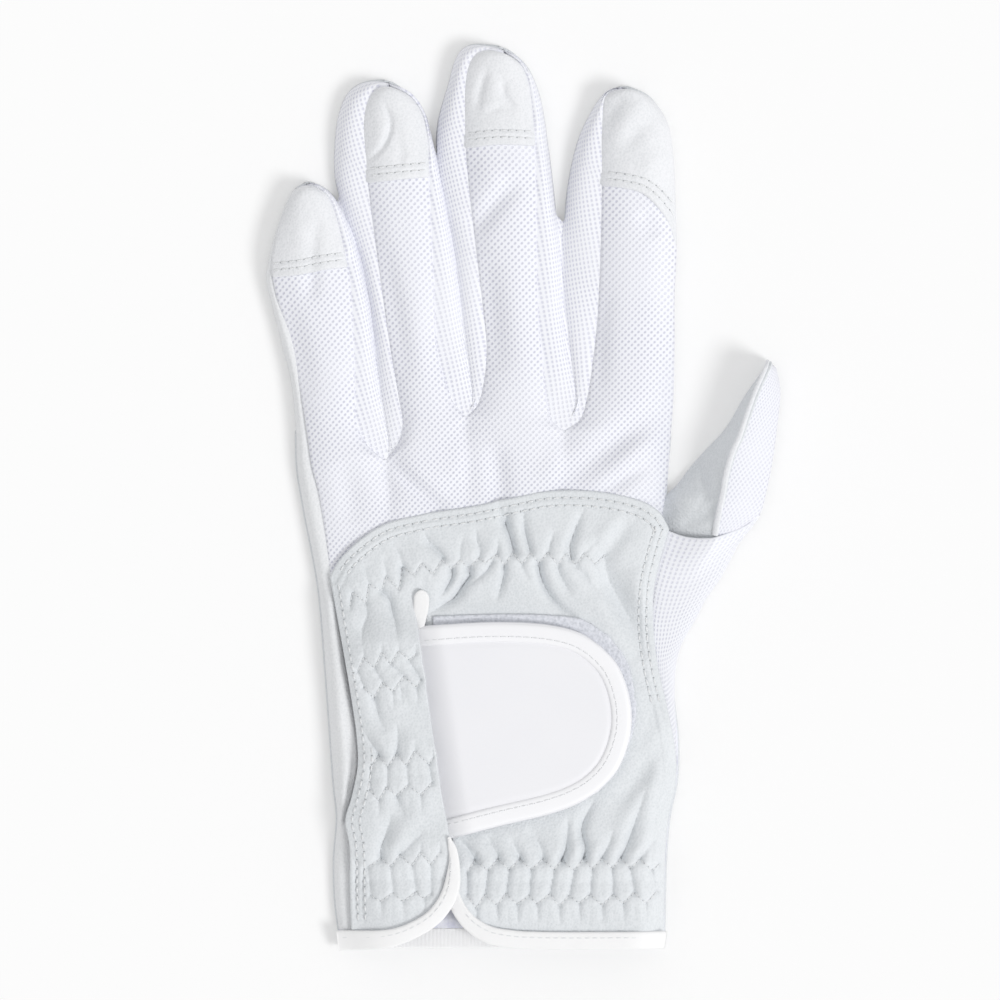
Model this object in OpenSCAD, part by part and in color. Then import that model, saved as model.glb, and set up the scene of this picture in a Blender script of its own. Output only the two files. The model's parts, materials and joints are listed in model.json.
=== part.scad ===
// Golf glove for the left hand, lying palm down as it comes off the hand.
// A leather palm, a mesh back, mesh gussets between the fingers, leather fingertip caps,
// a gathered leather wrist panel with bound edges, and a hook-and-loop closing tab.
// +Y points to the fingertips, +X to the thumb, +Z out of the back of the hand.

/* [Fingers] */
// Width of the little finger at its root
little_width = 22.5; // [18:0.5:27]
// Width of the ring finger at its root
ring_width = 20.8; // [17:0.5:26]
// Width of the middle finger at its root
middle_width = 25.7; // [20:0.5:30]
// Width of the index finger at its root
index_width = 24.3; // [20:0.5:30]
// Length of the little finger from its root to its tip
little_length = 66.5; // [56:0.5:76]
// Length of the ring finger from its root to its tip
ring_length = 86; // [74:0.5:96]
// Length of the middle finger from its root to its tip
middle_length = 89.5; // [78:0.5:102]
// Length of the index finger from its root to its tip
index_length = 78.5; // [68:0.5:90]
// Lean of the outer edge of the little finger, in degrees from straight up
outer_lean = -11; // [-14:0.5:-9.9]
// Lean of the gap between the little and ring fingers
little_ring_lean = -9.7; // [-10.5:0.1:-8.6]
// Lean of the gap between the ring and middle fingers
ring_middle_lean = -8.3; // [-9.5:0.1:-6]
// Lean of the gap between the middle and index fingers
middle_index_lean = -5.3; // [-7:0.1:-3]
// Lean of the outer edge of the index finger
index_lean = 1.3; // [-2:0.1:4]
// Length over which a finger rounds to its tip
tip_round = 22; // [16:0.5:26]
// Gap between neighbouring fingers
finger_gap = 1; // [0.8:0.1:2]
// Height of a finger over the seams at its sides
finger_crown = 3.3; // [2:0.1:6]

/* [Hand] */
// Width of the cuff
cuff_width = 82; // [74:0.5:92]
// Length from the cuff to the roots of the ring, middle and index fingers
hand_length = 137.4; // [125:0.5:150]
// How much lower the root of the little finger lies
little_drop = 11.2; // [4:0.2:16]
// Sideways shift of the knuckles from the middle of the cuff, to the little finger
knuckle_shift = 3.9; // [0:0.1:8]
// Height of the seams round the back of the hand and fingers
seam_height = 6.3; // [6:0.1:7]
// Height of the hollow under the wrist panel
hollow_height = 7.7; // [7.5:0.1:10]
// Width of the palm leather that wraps up over the little finger's edge, seen from above
wrap_width = 4; // [2.5:0.1:5]

/* [Materials] */
// Thickness of the leather
leather_t = 0.8; // [0.6:0.05:1]
// Thickness of the mesh
mesh_t = 0.7; // [0.5:0.05:0.9]
// Thickness of the elastic strips
elastic_t = 0.6; // [0.4:0.05:0.8]
// Clearance between two pieces that are sewn together
seam_gap = 0.3; // [0.2:0.05:0.4]
// Overlap of a lapped seam
lap = 5; // [3:0.5:6]

/* [Fingertip caps] */
// Length of the little finger's cap
little_cap = 24.5; // [18:0.5:30]
// Length of the ring finger's cap
ring_cap = 25; // [18:0.5:30]
// Length of the middle finger's cap
middle_cap = 26; // [18:0.5:32]
// Length of the index finger's cap at the gusset
index_cap = 25; // [18:0.5:30]
// How much further the index finger's cap reaches down the outer edge
index_cap_sweep = 14; // [0:0.5:18]

/* [Thumb] */
// Length of the thumb from its fold to its tip
thumb_length = 44; // [36:0.5:52]
// Width of the thumb at its fold
thumb_width = 21.5; // [16:0.5:22]
// Lean of the thumb away from the fingers
thumb_lean = 19; // [14:0.5:24]
// Height of the thumb's seam ridge above the floor
thumb_height = 12.2; // [9:0.1:14]
// How far the thumb's gusset reaches out from the hand
gusset_reach = 19.5; // [16:0.5:24]
// Length of the thumb's gusset along the wrist
gusset_length = 46; // [38:0.5:54]

/* [Wrist panel] */
// Distance from the cuff to the top of the panel's arch
panel_length = 113.8; // [106:0.2:118]
// Fall of the arch towards the little finger
arch_fall_little = 19.5; // [12:0.5:24]
// Fall of the arch towards the thumb
arch_fall_thumb = 9.5; // [4:0.5:11]
// Width of the slit
slit_width = 2.6; // [2.4:0.1:4]
// Length of the slit, measured from the cuff
slit_length = 88; // [82:0.5:92]
// Lean of the slit, in degrees
slit_lean = 6; // [0:0.5:9]
// Place of the slit's foot from the middle of the cuff, to the little finger
slit_shift = 11.6; // [8:0.2:15]
// Corner of the little finger's flap at the cuff
flap_corner_little = 12; // [8:0.5:15]
// Corner of the thumb's flap at the cuff
flap_corner_thumb = 14; // [8:0.5:18]
// Width of one gather in the shirred rows
gather_pitch = 5.4; // [4.5:0.1:7]
// Height of a gather
gather_height = 0.5; // [0:0.05:0.8]
// Width of the elastic behind a shirred row
elastic_width = 6; // [4:0.5:7]

/* [Binding] */
// Width of the binding tape along the cuff
tape_width = 3.6; // [2.5:0.1:4.2]
// Width of the binding tape along the slit
slit_tape_width = 2; // [1.4:0.1:2.4]
// Thickness of the binding tape
tape_t = 0.45; // [0.3:0.05:0.5]

/* [Tab] */
// Length of the tab from its fold to its round end
tab_length = 46; // [40:0.5:50]
// Width of the tab at its fold
tab_width = 52; // [44:0.5:54]
// Squareness of the tab's round end, from 2 for an ellipse
tab_squareness = 2.7; // [2:0.1:3.5]
// Thickness of the tab's face
tab_t = 1; // [0.8:0.05:1.2]
// Thickness of the hook and of the loop fastener
fastener_t = 0.7; // [0.5:0.05:0.9]
// Width of the binding round the tab's edge
tab_tape_width = 4.6; // [3:0.1:6]
// How far the loop patch shows past the tab
loop_margin = 1.9; // [1:0.1:2.6]
// Distance from the edge of the flap to the tab's fold
fold_reach = 3; // [2.7:0.1:4]

/* [Hidden] */

leather_colour = [0.87, 0.89, 0.88];
mesh_colour = [0.95, 0.95, 0.98];
tape_colour = [0.97, 0.97, 0.97];
elastic_colour = [0.93, 0.93, 0.93];
loop_colour = [0.82, 0.82, 0.86];

// Places up the hand, measured from the cuff
palm_cuff_y = 2.5;
panel_cuff_y = 4.5;
band_top_y = 8;
wrist_y = 53;
root_y = [hand_length - little_drop, hand_length - little_drop, hand_length, hand_length, hand_length];
notch_drop = 5;

// Fingers, from the little finger to the index finger
finger_width = [little_width, ring_width, middle_width, index_width];
finger_length = [little_length, ring_length, middle_length, index_length];
cap_length = [little_cap, ring_cap, middle_cap, index_cap];
edge_lean = [outer_lean, little_ring_lean, ring_middle_lean, middle_index_lean, index_lean];
knuckle_width = little_width + ring_width + middle_width + index_width;
knuckle_left = -knuckle_shift - knuckle_width / 2;
edge_root_x = [
    knuckle_left,
    knuckle_left + little_width,
    knuckle_left + little_width + ring_width,
    knuckle_left + little_width + ring_width + middle_width,
    knuckle_left + knuckle_width
];
// Width of the side walls as they show from above, left and right of each finger
wall_left = [wrap_width / 2, 7.6, 7, 7.6];
wall_right = [5, 3.4, 5, 0.4];
wall_root_share = 0.5;
floor_edge = leather_t + seam_gap;
wall_foot_z = floor_edge + mesh_t;

function lerp(a, b, t) = a + (b - a) * t;
function clamp01(t) = max(0, min(1, t));
function smooth(t) = let(k = clamp01(t)) k * k * (3 - 2 * k);
function bump(t) = abs(t) < 1 ? pow(cos(90 * t), 2) : 0;
function unit(v) = v / max(norm(v), 1e-9);
function steps(n) = [for (k = [0:n]) k / n];

// Finger outlines: straight edges that round to the tip
function tip_y(i) =
    (root_y[i] + root_y[i + 1]) / 2 + finger_length[i] * cos((edge_lean[i] + edge_lean[i + 1]) / 2);
function tip_share(i, y) =
    let(over = (y - tip_y(i) + tip_round) / tip_round) over <= 0 ? 1 : sqrt(max(0, 1 - over * over));
function edge_x(j, y) = edge_root_x[j] + tan(edge_lean[j]) * (y - root_y[j]);
function raw_left(i, y) = edge_x(i, y) + (i > 0 ? finger_gap / 2 : 0);
function raw_right(i, y) = edge_x(i + 1, y) - (i < 3 ? finger_gap / 2 : 0);
function finger_mid(i, y) = (raw_left(i, y) + raw_right(i, y)) / 2;
function finger_half(i, y) = (raw_right(i, y) - raw_left(i, y)) / 2 * tip_share(i, y);
function finger_left(i, y) = finger_mid(i, y) - finger_half(i, y);
function finger_right(i, y) = finger_mid(i, y) + finger_half(i, y);

// The back of a finger is narrower than its palm side by the walls at its sides
function wall_share(i, y) =
    let(up = (y - root_y[i + 1]) / (tip_y(i) - root_y[i + 1]))
    lerp(wall_root_share, 1, smooth(up * 1.6)) * tip_share(i, y);
function strip_left(i, y) = finger_left(i, y) + wall_left[i] * wall_share(i, y);
function strip_right(i, y) = finger_right(i, y) - wall_right[i] * wall_share(i, y);
// Height of the back of a finger, u across from 0 to 1
crown_fall = 12;
function tip_fall(i, y) =
    let(over = (y - tip_y(i) + crown_fall) / crown_fall) over <= 0 ? 1 : sqrt(max(0.02, 1 - over * over));
function strip_edge_z(i, u) = i == 3 ? lerp(seam_height, wall_foot_z, pow(u, 5)) : seam_height;
function strip_z(i, y, u) =
    let(full = strip_edge_z(i, u) + finger_crown * (1 - pow(abs(2 * u - 1), 2.4)))
    floor_edge + (full - floor_edge) * tip_fall(i, y);

// Hand outline
cuff_left = -cuff_width / 2;
cuff_right = cuff_width / 2;
crease_y = panel_length - arch_fall_thumb;
wrist_bulge = 2.5;
function ulnar_x(y) =
    lerp(cuff_left, knuckle_left, smooth((y - wrist_y) / (root_y[0] - wrist_y)));
function radial_x(y) =
    lerp(knuckle_left + knuckle_width, cuff_right + 0.3, smooth((root_y[4] - y) / (root_y[4] - crease_y)));
function thumb_side_x(y) = cuff_right + wrist_bulge * smooth((y - panel_cuff_y) / (wrist_y - panel_cuff_y));
function gusset_x(y) =
    let(down = clamp01((crease_y - y) / gusset_length))
    lerp(thumb_side_x(y), cuff_right + gusset_reach, pow(1 - down, 2.2));

// Sheets: a grid of points on one face, thickened to a closed solid. Dropped cells stay open, for slits.
function grid_normal(g, r, c) =
    let(
        rows = len(g), cols = len(g[0]),
        along = g[min(r + 1, rows - 1)][c] - g[max(r - 1, 0)][c],
        across = g[r][min(c + 1, cols - 1)] - g[r][max(c - 1, 0)]
    )
    unit(cross(across, along));
function inside_of(g, t) =
    [for (r = [0:len(g) - 1]) [for (c = [0:len(g[0]) - 1]) g[r][c] - t * grid_normal(g, r, c)]];
function below(g, t) = [for (row = g) [for (p = row) p - [0, 0, t]]];
function halves(q) = [[q[0], q[1], q[2]], [q[0], q[2], q[3]]];

module sheet(upper, lower, dropped = []) {
    rows = len(upper);
    cols = len(upper[0]);
    function kept(r, c) =
        r >= 0 && c >= 0 && r < rows - 1 && c < cols - 1 && len([for (d = dropped) if (d == [r, c]) d]) == 0;
    function top(r, c) = r * cols + c;
    function low(r, c) = rows * cols + r * cols + c;
    quads = [
        for (r = [0:rows - 2], c = [0:cols - 2]) if (kept(r, c)) each [
            [top(r, c), top(r + 1, c), top(r + 1, c + 1), top(r, c + 1)],
            [low(r, c), low(r, c + 1), low(r + 1, c + 1), low(r + 1, c)],
            if (!kept(r - 1, c)) [top(r, c), top(r, c + 1), low(r, c + 1), low(r, c)],
            if (!kept(r + 1, c)) [top(r + 1, c + 1), top(r + 1, c), low(r + 1, c), low(r + 1, c + 1)],
            if (!kept(r, c - 1)) [top(r + 1, c), top(r, c), low(r, c), low(r + 1, c)],
            if (!kept(r, c + 1)) [top(r, c + 1), top(r + 1, c + 1), low(r + 1, c + 1), low(r, c + 1)]
        ]
    ];
    polyhedron(
        points = [for (row = upper) each row, for (row = lower) each row],
        faces = [for (q = quads) each halves(q)]
    );
}

// Palm outline
function finger_outline(i) = [
    [raw_left(i, root_y[i]), root_y[i]],
    each [for (a = [0:10:80]) let(y = tip_y(i) - tip_round * (1 - sin(a))) [finger_left(i, y), y]],
    [finger_mid(i, tip_y(i)), tip_y(i)],
    each [for (a = [80:-10:0]) let(y = tip_y(i) - tip_round * (1 - sin(a))) [finger_right(i, y), y]],
    [raw_right(i, root_y[i + 1]), root_y[i + 1]]
];
gusset_end_y = crease_y - gusset_length;
palm_outline = [
    [cuff_left, palm_cuff_y],
    each [for (k = [0:11]) let(y = lerp(wrist_y, root_y[0], k / 12)) [ulnar_x(y), y]],
    each [for (i = [0:3]) each finger_outline(i)],
    each [for (k = [1:5]) let(y = lerp(root_y[4], crease_y, k / 5)) [radial_x(y), y]],
    each [for (k = [0:8]) let(y = lerp(crease_y, gusset_end_y, k / 8)) [gusset_x(y), y]],
    each [for (k = [1:5]) let(y = lerp(gusset_end_y, palm_cuff_y, k / 5)) [thumb_side_x(y), y]]
];

// Wrist panel outline
panel_waist = 4.5;
waist_drop = 29;
waist_span = 36;
waist_y = panel_length - waist_drop;
function panel_left(y) = ulnar_x(y) + wrap_width;
function panel_right(y) = thumb_side_x(y) - panel_waist * bump((y - waist_y) / waist_span);
function slit_x(y) = -slit_shift - tan(slit_lean) * (y - panel_cuff_y);
arch_left = panel_left(panel_length - arch_fall_little);
arch_right = panel_right(crease_y);
arch_peak = lerp(arch_left, arch_right, 0.735);
function arch_y(x) =
    let(
        d = clamp01(x < arch_peak ? (arch_peak - x) / (arch_peak - arch_left)
            : (x - arch_peak) / (arch_right - arch_peak)),
        fall = x < arch_peak ? arch_fall_little : arch_fall_thumb
    )
    panel_length - fall * (1 - sqrt(1 - d * d));
flap_rise = 9.5;
function corner_lift(d, size) = d >= size ? 0 : flap_rise * (1 - sqrt(max(0, 1 - pow(1 - d / size, 2))));

// Points of the panel: side 0 is the little finger's flap, side 1 the thumb's; u across, v up from the cuff
slit_half = slit_width / 2;
function panel_x(side, u, y) =
    side == 0 ? lerp(panel_left(y), slit_x(y) - slit_half, u)
    : lerp(slit_x(y) + slit_half, panel_right(y), u);
function panel_top_y(side, u) =
    arch_y(side == 0 ? lerp(arch_left, slit_x(panel_length) - slit_half, u)
    : lerp(slit_x(panel_length) + slit_half, arch_right, u));
function panel_low_y(side, u) =
    panel_cuff_y + (side == 0
    ? corner_lift((1 - u) * (slit_x(panel_cuff_y) - slit_half - panel_left(panel_cuff_y)), flap_corner_little)
    : corner_lift(u * (panel_right(panel_cuff_y) - slit_x(panel_cuff_y) - slit_half), flap_corner_thumb));
function panel_y(side, u, v) = lerp(panel_low_y(side, u), panel_top_y(side, u), v);

// Heights of the stack under the tab
panel_top_z = hollow_height + leather_t;
loop_z = panel_top_z + seam_gap / 2;
hook_z = loop_z + fastener_t + seam_gap;
face_z = hook_z + fastener_t + seam_gap / 3;
tab_top_z = face_z + tab_t;
flap_lift = tab_top_z + seam_gap - hollow_height;
edge_fall = 5.5;

// Shirred rows: their places up the panel
cuff_row_rise = 12;
cuff_row_span = 11;
knuckle_row_drop = 17.3;
knuckle_row_span = 9;
side_row_drops = [20.5, 44];
side_row_span = 8;
cuff_row_y = panel_cuff_y + cuff_row_rise;
knuckle_row_y = panel_length - knuckle_row_drop;
side_row_upper_y = slit_length - side_row_drops[0];
side_row_lower_y = slit_length - side_row_drops[1];
gathers = [
    round((slit_x(wrist_y) - panel_left(wrist_y)) / gather_pitch),
    round((panel_right(wrist_y) - slit_x(wrist_y)) / gather_pitch)
];
function row_share(side, u, y) =
    bump((y - cuff_row_y) / cuff_row_span) * smooth((y - panel_low_y(side, u) - tape_width) / 3)
    + bump((y - knuckle_row_y) / knuckle_row_span)
        * (side == 0 ? smooth((u - 0.3) / 0.3) : smooth((0.75 - u) / 0.2))
    + (side == 0
        ? bump((y - side_row_upper_y) / side_row_span) + bump((y - side_row_lower_y) / side_row_span)
        : 0);
function slit_share(side, u, y) =
    let(d = abs(panel_x(side, u, y) - slit_x(y)) - slit_half)
    y > slit_length + tape_width + 2 ? 1 : smooth((d - tape_width) / 2);
function gather_z(side, u, y) =
    gather_height * (0.5 + 0.5 * cos(360 * u * gathers[side])) * row_share(side, u, y)
    * slit_share(side, u, y);
function edge_z(y) = lerp(floor_edge, seam_height, smooth((y - gusset_end_y - 2) / 14));
// Underside of the panel without its gathers
function panel_base_z(side, u, y) =
    side == 0
    ? lerp(seam_height, hollow_height, smooth(u / 0.35))
        + flap_lift * smooth((u - 0.1) / 0.5) * smooth((slit_length - 7 - y) / 7)
    : let(t = clamp01((panel_x(1, u, y) - panel_right(y) + edge_fall) / edge_fall))
        lerp(hollow_height, edge_z(y), t * t);
function panel_under(side, u, y) =
    [panel_x(side, u, y), y, panel_base_z(side, u, y) + gather_z(side, u, y)];

slit_low_y = panel_cuff_y + flap_rise;
slit_v = (slit_length - slit_low_y) / (panel_top_y(0, 1) - slit_low_y);
panel_rows_slit = 13;
panel_rows_top = 5;
panel_v = [
    each [for (k = [0:panel_rows_slit]) slit_v * k / panel_rows_slit],
    each [for (k = [1:panel_rows_top]) lerp(slit_v, 1, k / panel_rows_top)]
];
little_u = steps(4 * gathers[0]);
thumb_u = steps(4 * gathers[1]);
panel_low_grid = [
    for (v = panel_v) [
        each [for (u = little_u) panel_under(0, u, panel_y(0, u, v))],
        each [for (u = thumb_u) panel_under(1, u, panel_y(1, u, v))]
    ]
];
panel_slit_cells = [for (r = [0:panel_rows_slit - 1]) [r, len(little_u) - 1]];

// Back of the hand: four finger columns over a shared hand part
back_cols = 7;
back_hand_rows = 7;
back_finger_rows = 7;
function notch_y(j) = root_y[j] - notch_drop;
function cap_y(i, u) = tip_y(i) - cap_length[i] - (i == 3 ? index_cap_sweep * u * u : 0);
function strip_point(i, u, y) = [lerp(strip_left(i, y), strip_right(i, y), u), y, strip_z(i, y, u)];
function root_point(i, u) = strip_point(i, u, lerp(notch_y(i), notch_y(i + 1), u));
function back_left(y) =
    lerp(panel_left(y), strip_left(0, y), smooth((y - panel_length + 12) / (notch_y(0) - panel_length + 12)));
function back_right(y) = radial_x(y) - 0.4;
root_left = root_point(0, 0)[0];
root_right = root_point(3, 1)[0];
function back_low_z(w) =
    lerp(hollow_height - seam_gap, seam_height - seam_gap - 0.2, pow(clamp01((0.26 - w) / 0.26), 1.5))
    - (hollow_height - seam_gap - wall_foot_z) * pow(clamp01((w - 0.82) / 0.18), 3);
function hand_point(i, u, t) =
    let(
        root = root_point(i, u),
        w = (root[0] - root_left) / (root_right - root_left),
        low_x = lerp(arch_left, arch_right, w),
        low_y = arch_y(low_x) - lap,
        y = lerp(low_y, root[1], t)
    )
    [
        w < 0.001 ? back_left(y) : lerp(lerp(back_left(y), back_right(y), w), root[0], t),
        y,
        lerp(back_low_z(w), root[2], smooth(t))
    ];
function finger_point(i, u, g) =
    let(y = lerp(lerp(notch_y(i), notch_y(i + 1), u), cap_y(i, u) + lap, g)) strip_point(i, u, y);
back_u = steps(back_cols - 1);
back_grid = [
    each [for (t = steps(back_hand_rows)) [for (i = [0:3]) each [for (u = back_u) hand_point(i, u, t)]]],
    each [for (k = [1:back_finger_rows])
        [for (i = [0:3]) each [for (u = back_u) finger_point(i, u, k / back_finger_rows)]]]
];
back_notch_cells = [
    for (r = [back_hand_rows:back_hand_rows + back_finger_rows - 1], i = [1:3]) [r, i * back_cols - 1]
];

// Walls: two or more points from the top seam to the palm, set off from the seam by their own thickness
mesh_inset = seam_gap + mesh_t;
leather_inset = seam_gap + leather_t;
wall_end = 3;
function side_z(i, y) = floor_edge + (seam_height - floor_edge) * tip_fall(i, y);
function wall_row(top, foot) = [top, lerp(top, foot, 0.5) + [0, 0, 0.4], foot];
function right_wall(i, g) =
    let(
        y_top = lerp(notch_y(i + 1) + mesh_inset, tip_y(i) - wall_end, g),
        y_foot = lerp(root_y[i + 1] - seam_gap, tip_y(i) - wall_end, g)
    )
    wall_row(
        [strip_right(i, y_top) + mesh_inset, y_top, max(side_z(i, y_top), wall_foot_z + 0.5)],
        [max(finger_right(i, y_foot) - 0.1, strip_right(i, y_top) + mesh_inset + 0.4), y_foot, wall_foot_z]
    );
function left_wall(i, g) =
    let(
        y_top = lerp(notch_y(i) + mesh_inset, tip_y(i) - wall_end, g),
        y_foot = lerp(root_y[i] - seam_gap, tip_y(i) - wall_end, g)
    )
    wall_row(
        [strip_left(i, y_top) - mesh_inset, y_top, max(side_z(i, y_top), wall_foot_z + 0.5)],
        [min(finger_left(i, y_foot) + 0.1, strip_left(i, y_top) - mesh_inset - 0.4), y_foot, wall_foot_z]
    );
wall_steps = [for (k = [0:9]) sin(90 * k / 9)];
function crotch_wall(i, t) =
    let(a = left_wall(i + 1, 0), b = right_wall(i, 0)) [for (k = [0:2]) lerp(a[k], b[k], t)];
function gusset_grid(i) = [
    each [for (k = [9:-1:0]) left_wall(i + 1, wall_steps[k])],
    each [for (t = [0.33, 0.67]) crotch_wall(i, t)],
    each [for (k = [0:9]) right_wall(i, wall_steps[k])]
];

// Leather wrapped up round the little finger's edge, from the tip to the cuff
function wrap_row(y) =
    let(
        in_finger = y > root_y[0],
        edge = in_finger ? finger_left(0, y) : ulnar_x(y),
        seam = y > notch_y(0) ? strip_left(0, y) : back_left(y),
        top_x = max(seam - leather_inset - 0.2, edge + 0.3),
        top_z = side_z(0, y),
        foot_z = floor_edge
    )
    [
        [top_x, y, top_z],
        [lerp(edge, top_x, 0.5) - 0.15, y, lerp(foot_z, top_z, 0.86)],
        [edge, y, lerp(foot_z, top_z, 0.5)],
        [edge + 0.35, y, foot_z]
    ];
wrap_ys = [
    each [for (k = [0:5]) tip_y(0) - wall_end - (tip_round - wall_end) * (1 - cos(18 * k))],
    each [for (k = [1:5]) lerp(tip_y(0) - tip_round, root_y[0], k / 5)],
    each [for (k = [1:9]) lerp(root_y[0], wrist_y, k / 9)],
    each [for (k = [1:3]) lerp(wrist_y, panel_cuff_y, k / 3)]
];

// Fingertip caps lie over the end of the mesh and close the tip
function cap_grid(i) = [
    for (k = [0:9]) [
        for (u = steps(8))
            let(y = lerp(cap_y(i, u), tip_y(i) - 0.12, sin(10 * k)))
            strip_point(i, u, y) + [0, 0, seam_gap]
    ]
];

// Mesh gusset at the root of the thumb, tucked under the wrist panel
gusset_bulge = 2.4;
function thumb_gusset_row(y) =
    let(
        in_x = panel_right(y),
        out_x = gusset_x(y) - 0.2,
        near = smooth((y - crease_y + 20) / 20),
        edge_top = max(edge_z(y) - seam_gap - 0.1, wall_foot_z + 0.3)
    )
    [
        for (x = [in_x - lap * 0.8, in_x - lap * 0.4])
            let(t = clamp01((x - in_x + edge_fall) / edge_fall))
            [x, y, lerp(hollow_height, edge_z(y), t * t) - seam_gap - 0.1],
        for (q = steps(6))
            [lerp(in_x, out_x, q), y,
             lerp(edge_top, wall_foot_z + 0.2, pow(q, 3)) + gusset_bulge * near * 4 * q * (1 - q)]
    ];
thumb_gusset_ys = [for (k = [0:9]) lerp(gusset_end_y + 8, crease_y - seam_gap, k / 9)];

// Thumb: leather on the finger side and underneath, mesh on the far side, joined along a ridge
thumb_y0 = crease_y + 0.5;
thumb_x0 = radial_x(crease_y) + 0.7 + thumb_width / 2;
thumb_end = 0.88;
thumb_rise_y = thumb_length * cos(thumb_lean) / thumb_end;
ridge_shift = -1.4;
ridge_droop = 0.12;
ridge_start = 0.72;
ridge_half = (leather_t + mesh_t) / 2;
function thumb_y(t) = thumb_y0 + thumb_rise_y * t;
function thumb_mid(t) = thumb_x0 + tan(thumb_lean) * thumb_rise_y * t;
function thumb_left(t) = thumb_width / 2 * (1 - pow(t, 1.4));
function thumb_right(t) = thumb_width / 2 * (1 - pow(t, 2.4));
function thumb_ridge(t) = thumb_height * (1 - ridge_droop * t * t) * lerp(ridge_start, 1, smooth(t / 0.25));
function thumb_row(t, section) = [for (p = section) [thumb_mid(t) + p[0], thumb_y(t), p[1]]];
function thumb_leather_section(t) =
    let(l = thumb_left(t), r = thumb_right(t), h = thumb_ridge(t), n = ridge_shift * (1 - t))
    [
        [r - 0.3, 0], [(r - l) / 2, 0], [-l + 1.7, 0], [-l + 0.5, 0.45], [-l, 1.8],
        [lerp(-l, n, 0.33) - 0.3, h * 0.5], [lerp(-l, n, 0.68) - 0.3, h * 0.82], [n - ridge_half, h]
    ];
function thumb_mesh_section(t) =
    let(r = thumb_right(t), h = thumb_ridge(t), n = ridge_shift * (1 - t))
    [
        [n + ridge_half, h], [lerp(n, r, 0.33) + 0.3, h * 0.84], [lerp(n, r, 0.7) + 0.3, h * 0.55],
        [r, max(wall_foot_z, h * 0.22)]
    ];
thumb_ts = [for (k = [0:9]) thumb_end * sin(10 * k)];

// Binding tape folded over an edge: path points are the underside of the leather at its edge
tape_gap = 0.18;
function path_dir(path, k) = path[min(k + 1, len(path) - 1)] - path[max(k - 1, 0)];
function tape_ring(p, dir, width) =
    let(
        out = unit([dir[1], -dir[0], 0]),
        up = unit(cross(out, dir)),
        lip = tape_gap + tape_t,
        high = leather_t + tape_gap
    )
    [
        p - out * width + up * (high + tape_t),
        p + out * lip + up * (high + tape_t),
        p + out * lip - up * lip,
        p - out * width - up * lip,
        p - out * width - up * tape_gap,
        p + out * tape_gap - up * tape_gap,
        p + out * tape_gap + up * high,
        p - out * width + up * high
    ];
module tape(path, widths) {
    n = len(path);
    rings = [for (k = [0:n - 1]) tape_ring(path[k], path_dir(path, k), widths[k])];
    sides = [
        for (k = [0:n - 2], m = [0:7])
            let(a = 8 * k + m, b = 8 * k + (m + 1) % 8) [a, a + 8, b + 8, b]
    ];
    last = 8 * (n - 1);
    start_cap = [[0, 1, 6, 7], [1, 2, 5, 6], [2, 3, 4, 5]];
    end_cap = [for (q = start_cap) [last + q[3], last + q[2], last + q[1], last + q[0]]];
    polyhedron(
        points = [for (ring = rings) each ring],
        faces = [for (q = concat(sides, start_cap, end_cap)) each halves(q)]
    );
}
tab_drop = 8.2;
tab_mid_y = slit_length - tab_drop - tab_width / 2;
tape_end_drop = 2;
flap_tape_top = tab_mid_y - tab_width / 2 - tape_end_drop;
function low_edge(side, u) = panel_under(side, u, panel_low_y(side, u));
flap_path = [
    each [for (k = [1:len(little_u) - 1]) low_edge(0, little_u[k])],
    each [for (k = [1:4]) panel_under(0, 1, lerp(slit_low_y, flap_tape_top, k / 4))]
];
flap_widths = [for (p = flap_path) slit_tape_width];
slit_foot = panel_under(0, 1, panel_y(0, 1, panel_v[panel_rows_slit - 1]));
slit_head = panel_under(0, 1, slit_length);
slit_path = [
    each [for (k = [0.55, 0.75, 0.9]) lerp(slit_foot, slit_head, k)],
    [slit_x(slit_length), slit_length, panel_base_z(0, 1, slit_length)],
    each [for (k = [0:12]) panel_under(1, 0, lerp(slit_length - 0.6, slit_low_y, k / 12))],
    each [for (k = [1:len(thumb_u) - 2]) low_edge(1, thumb_u[k])]
];
slit_widths = [for (k = [0:len(slit_path) - 1]) lerp(slit_tape_width, tape_width, smooth((k - 18) / 8))];

// Tab outline in its own frame: the fold is the line x = 0
function tab_edge(inset) = [
    for (a = [-90:6:90])
        [
            (tab_length - inset) * pow(max(0, cos(a)), 2 / tab_squareness),
            (tab_width / 2 - inset) * sign(a) * pow(abs(sin(a)), 2 / tab_squareness)
        ]
];
fold_offset = fold_reach - slit_half;
fold_bead = 0.8;
bead_end = 1;
fold_z = face_z + tab_t / 2;
module on_fold() {
    translate([slit_x(tab_mid_y) + fold_offset / cos(slit_lean), tab_mid_y, 0])
        rotate([0, 0, slit_lean])
            children();
}
module tab_slab(inset, from_x, z, height) {
    translate([0, 0, z])
        linear_extrude(height)
            intersection() {
                polygon(tab_edge(inset));
                translate([from_x, -tab_width])
                    square([tab_length + tab_width, 2 * tab_width]);
            }
}

// Origin under the middle of the glove
thumb_out = max([for (t = thumb_ts) thumb_mid(t) + thumb_right(t)]);
origin_x = (min([for (p = palm_outline) p[0]]) + thumb_out) / 2;
origin_y = max([for (p = palm_outline) p[1]]) / 2;
module placed() {
    translate([-origin_x, -origin_y, 0])
        children();
}

module palm_panel() {
    color(leather_colour)
        placed()
            linear_extrude(leather_t)
                polygon(palm_outline);
}

module little_edge_wrap() {
    grid = [for (y = wrap_ys) wrap_row(y)];
    color(leather_colour)
        placed()
            sheet(grid, inside_of(grid, leather_t));
}

module back_panel() {
    color(mesh_colour)
        placed()
            sheet(back_grid, below(back_grid, mesh_t), back_notch_cells);
}

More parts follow.
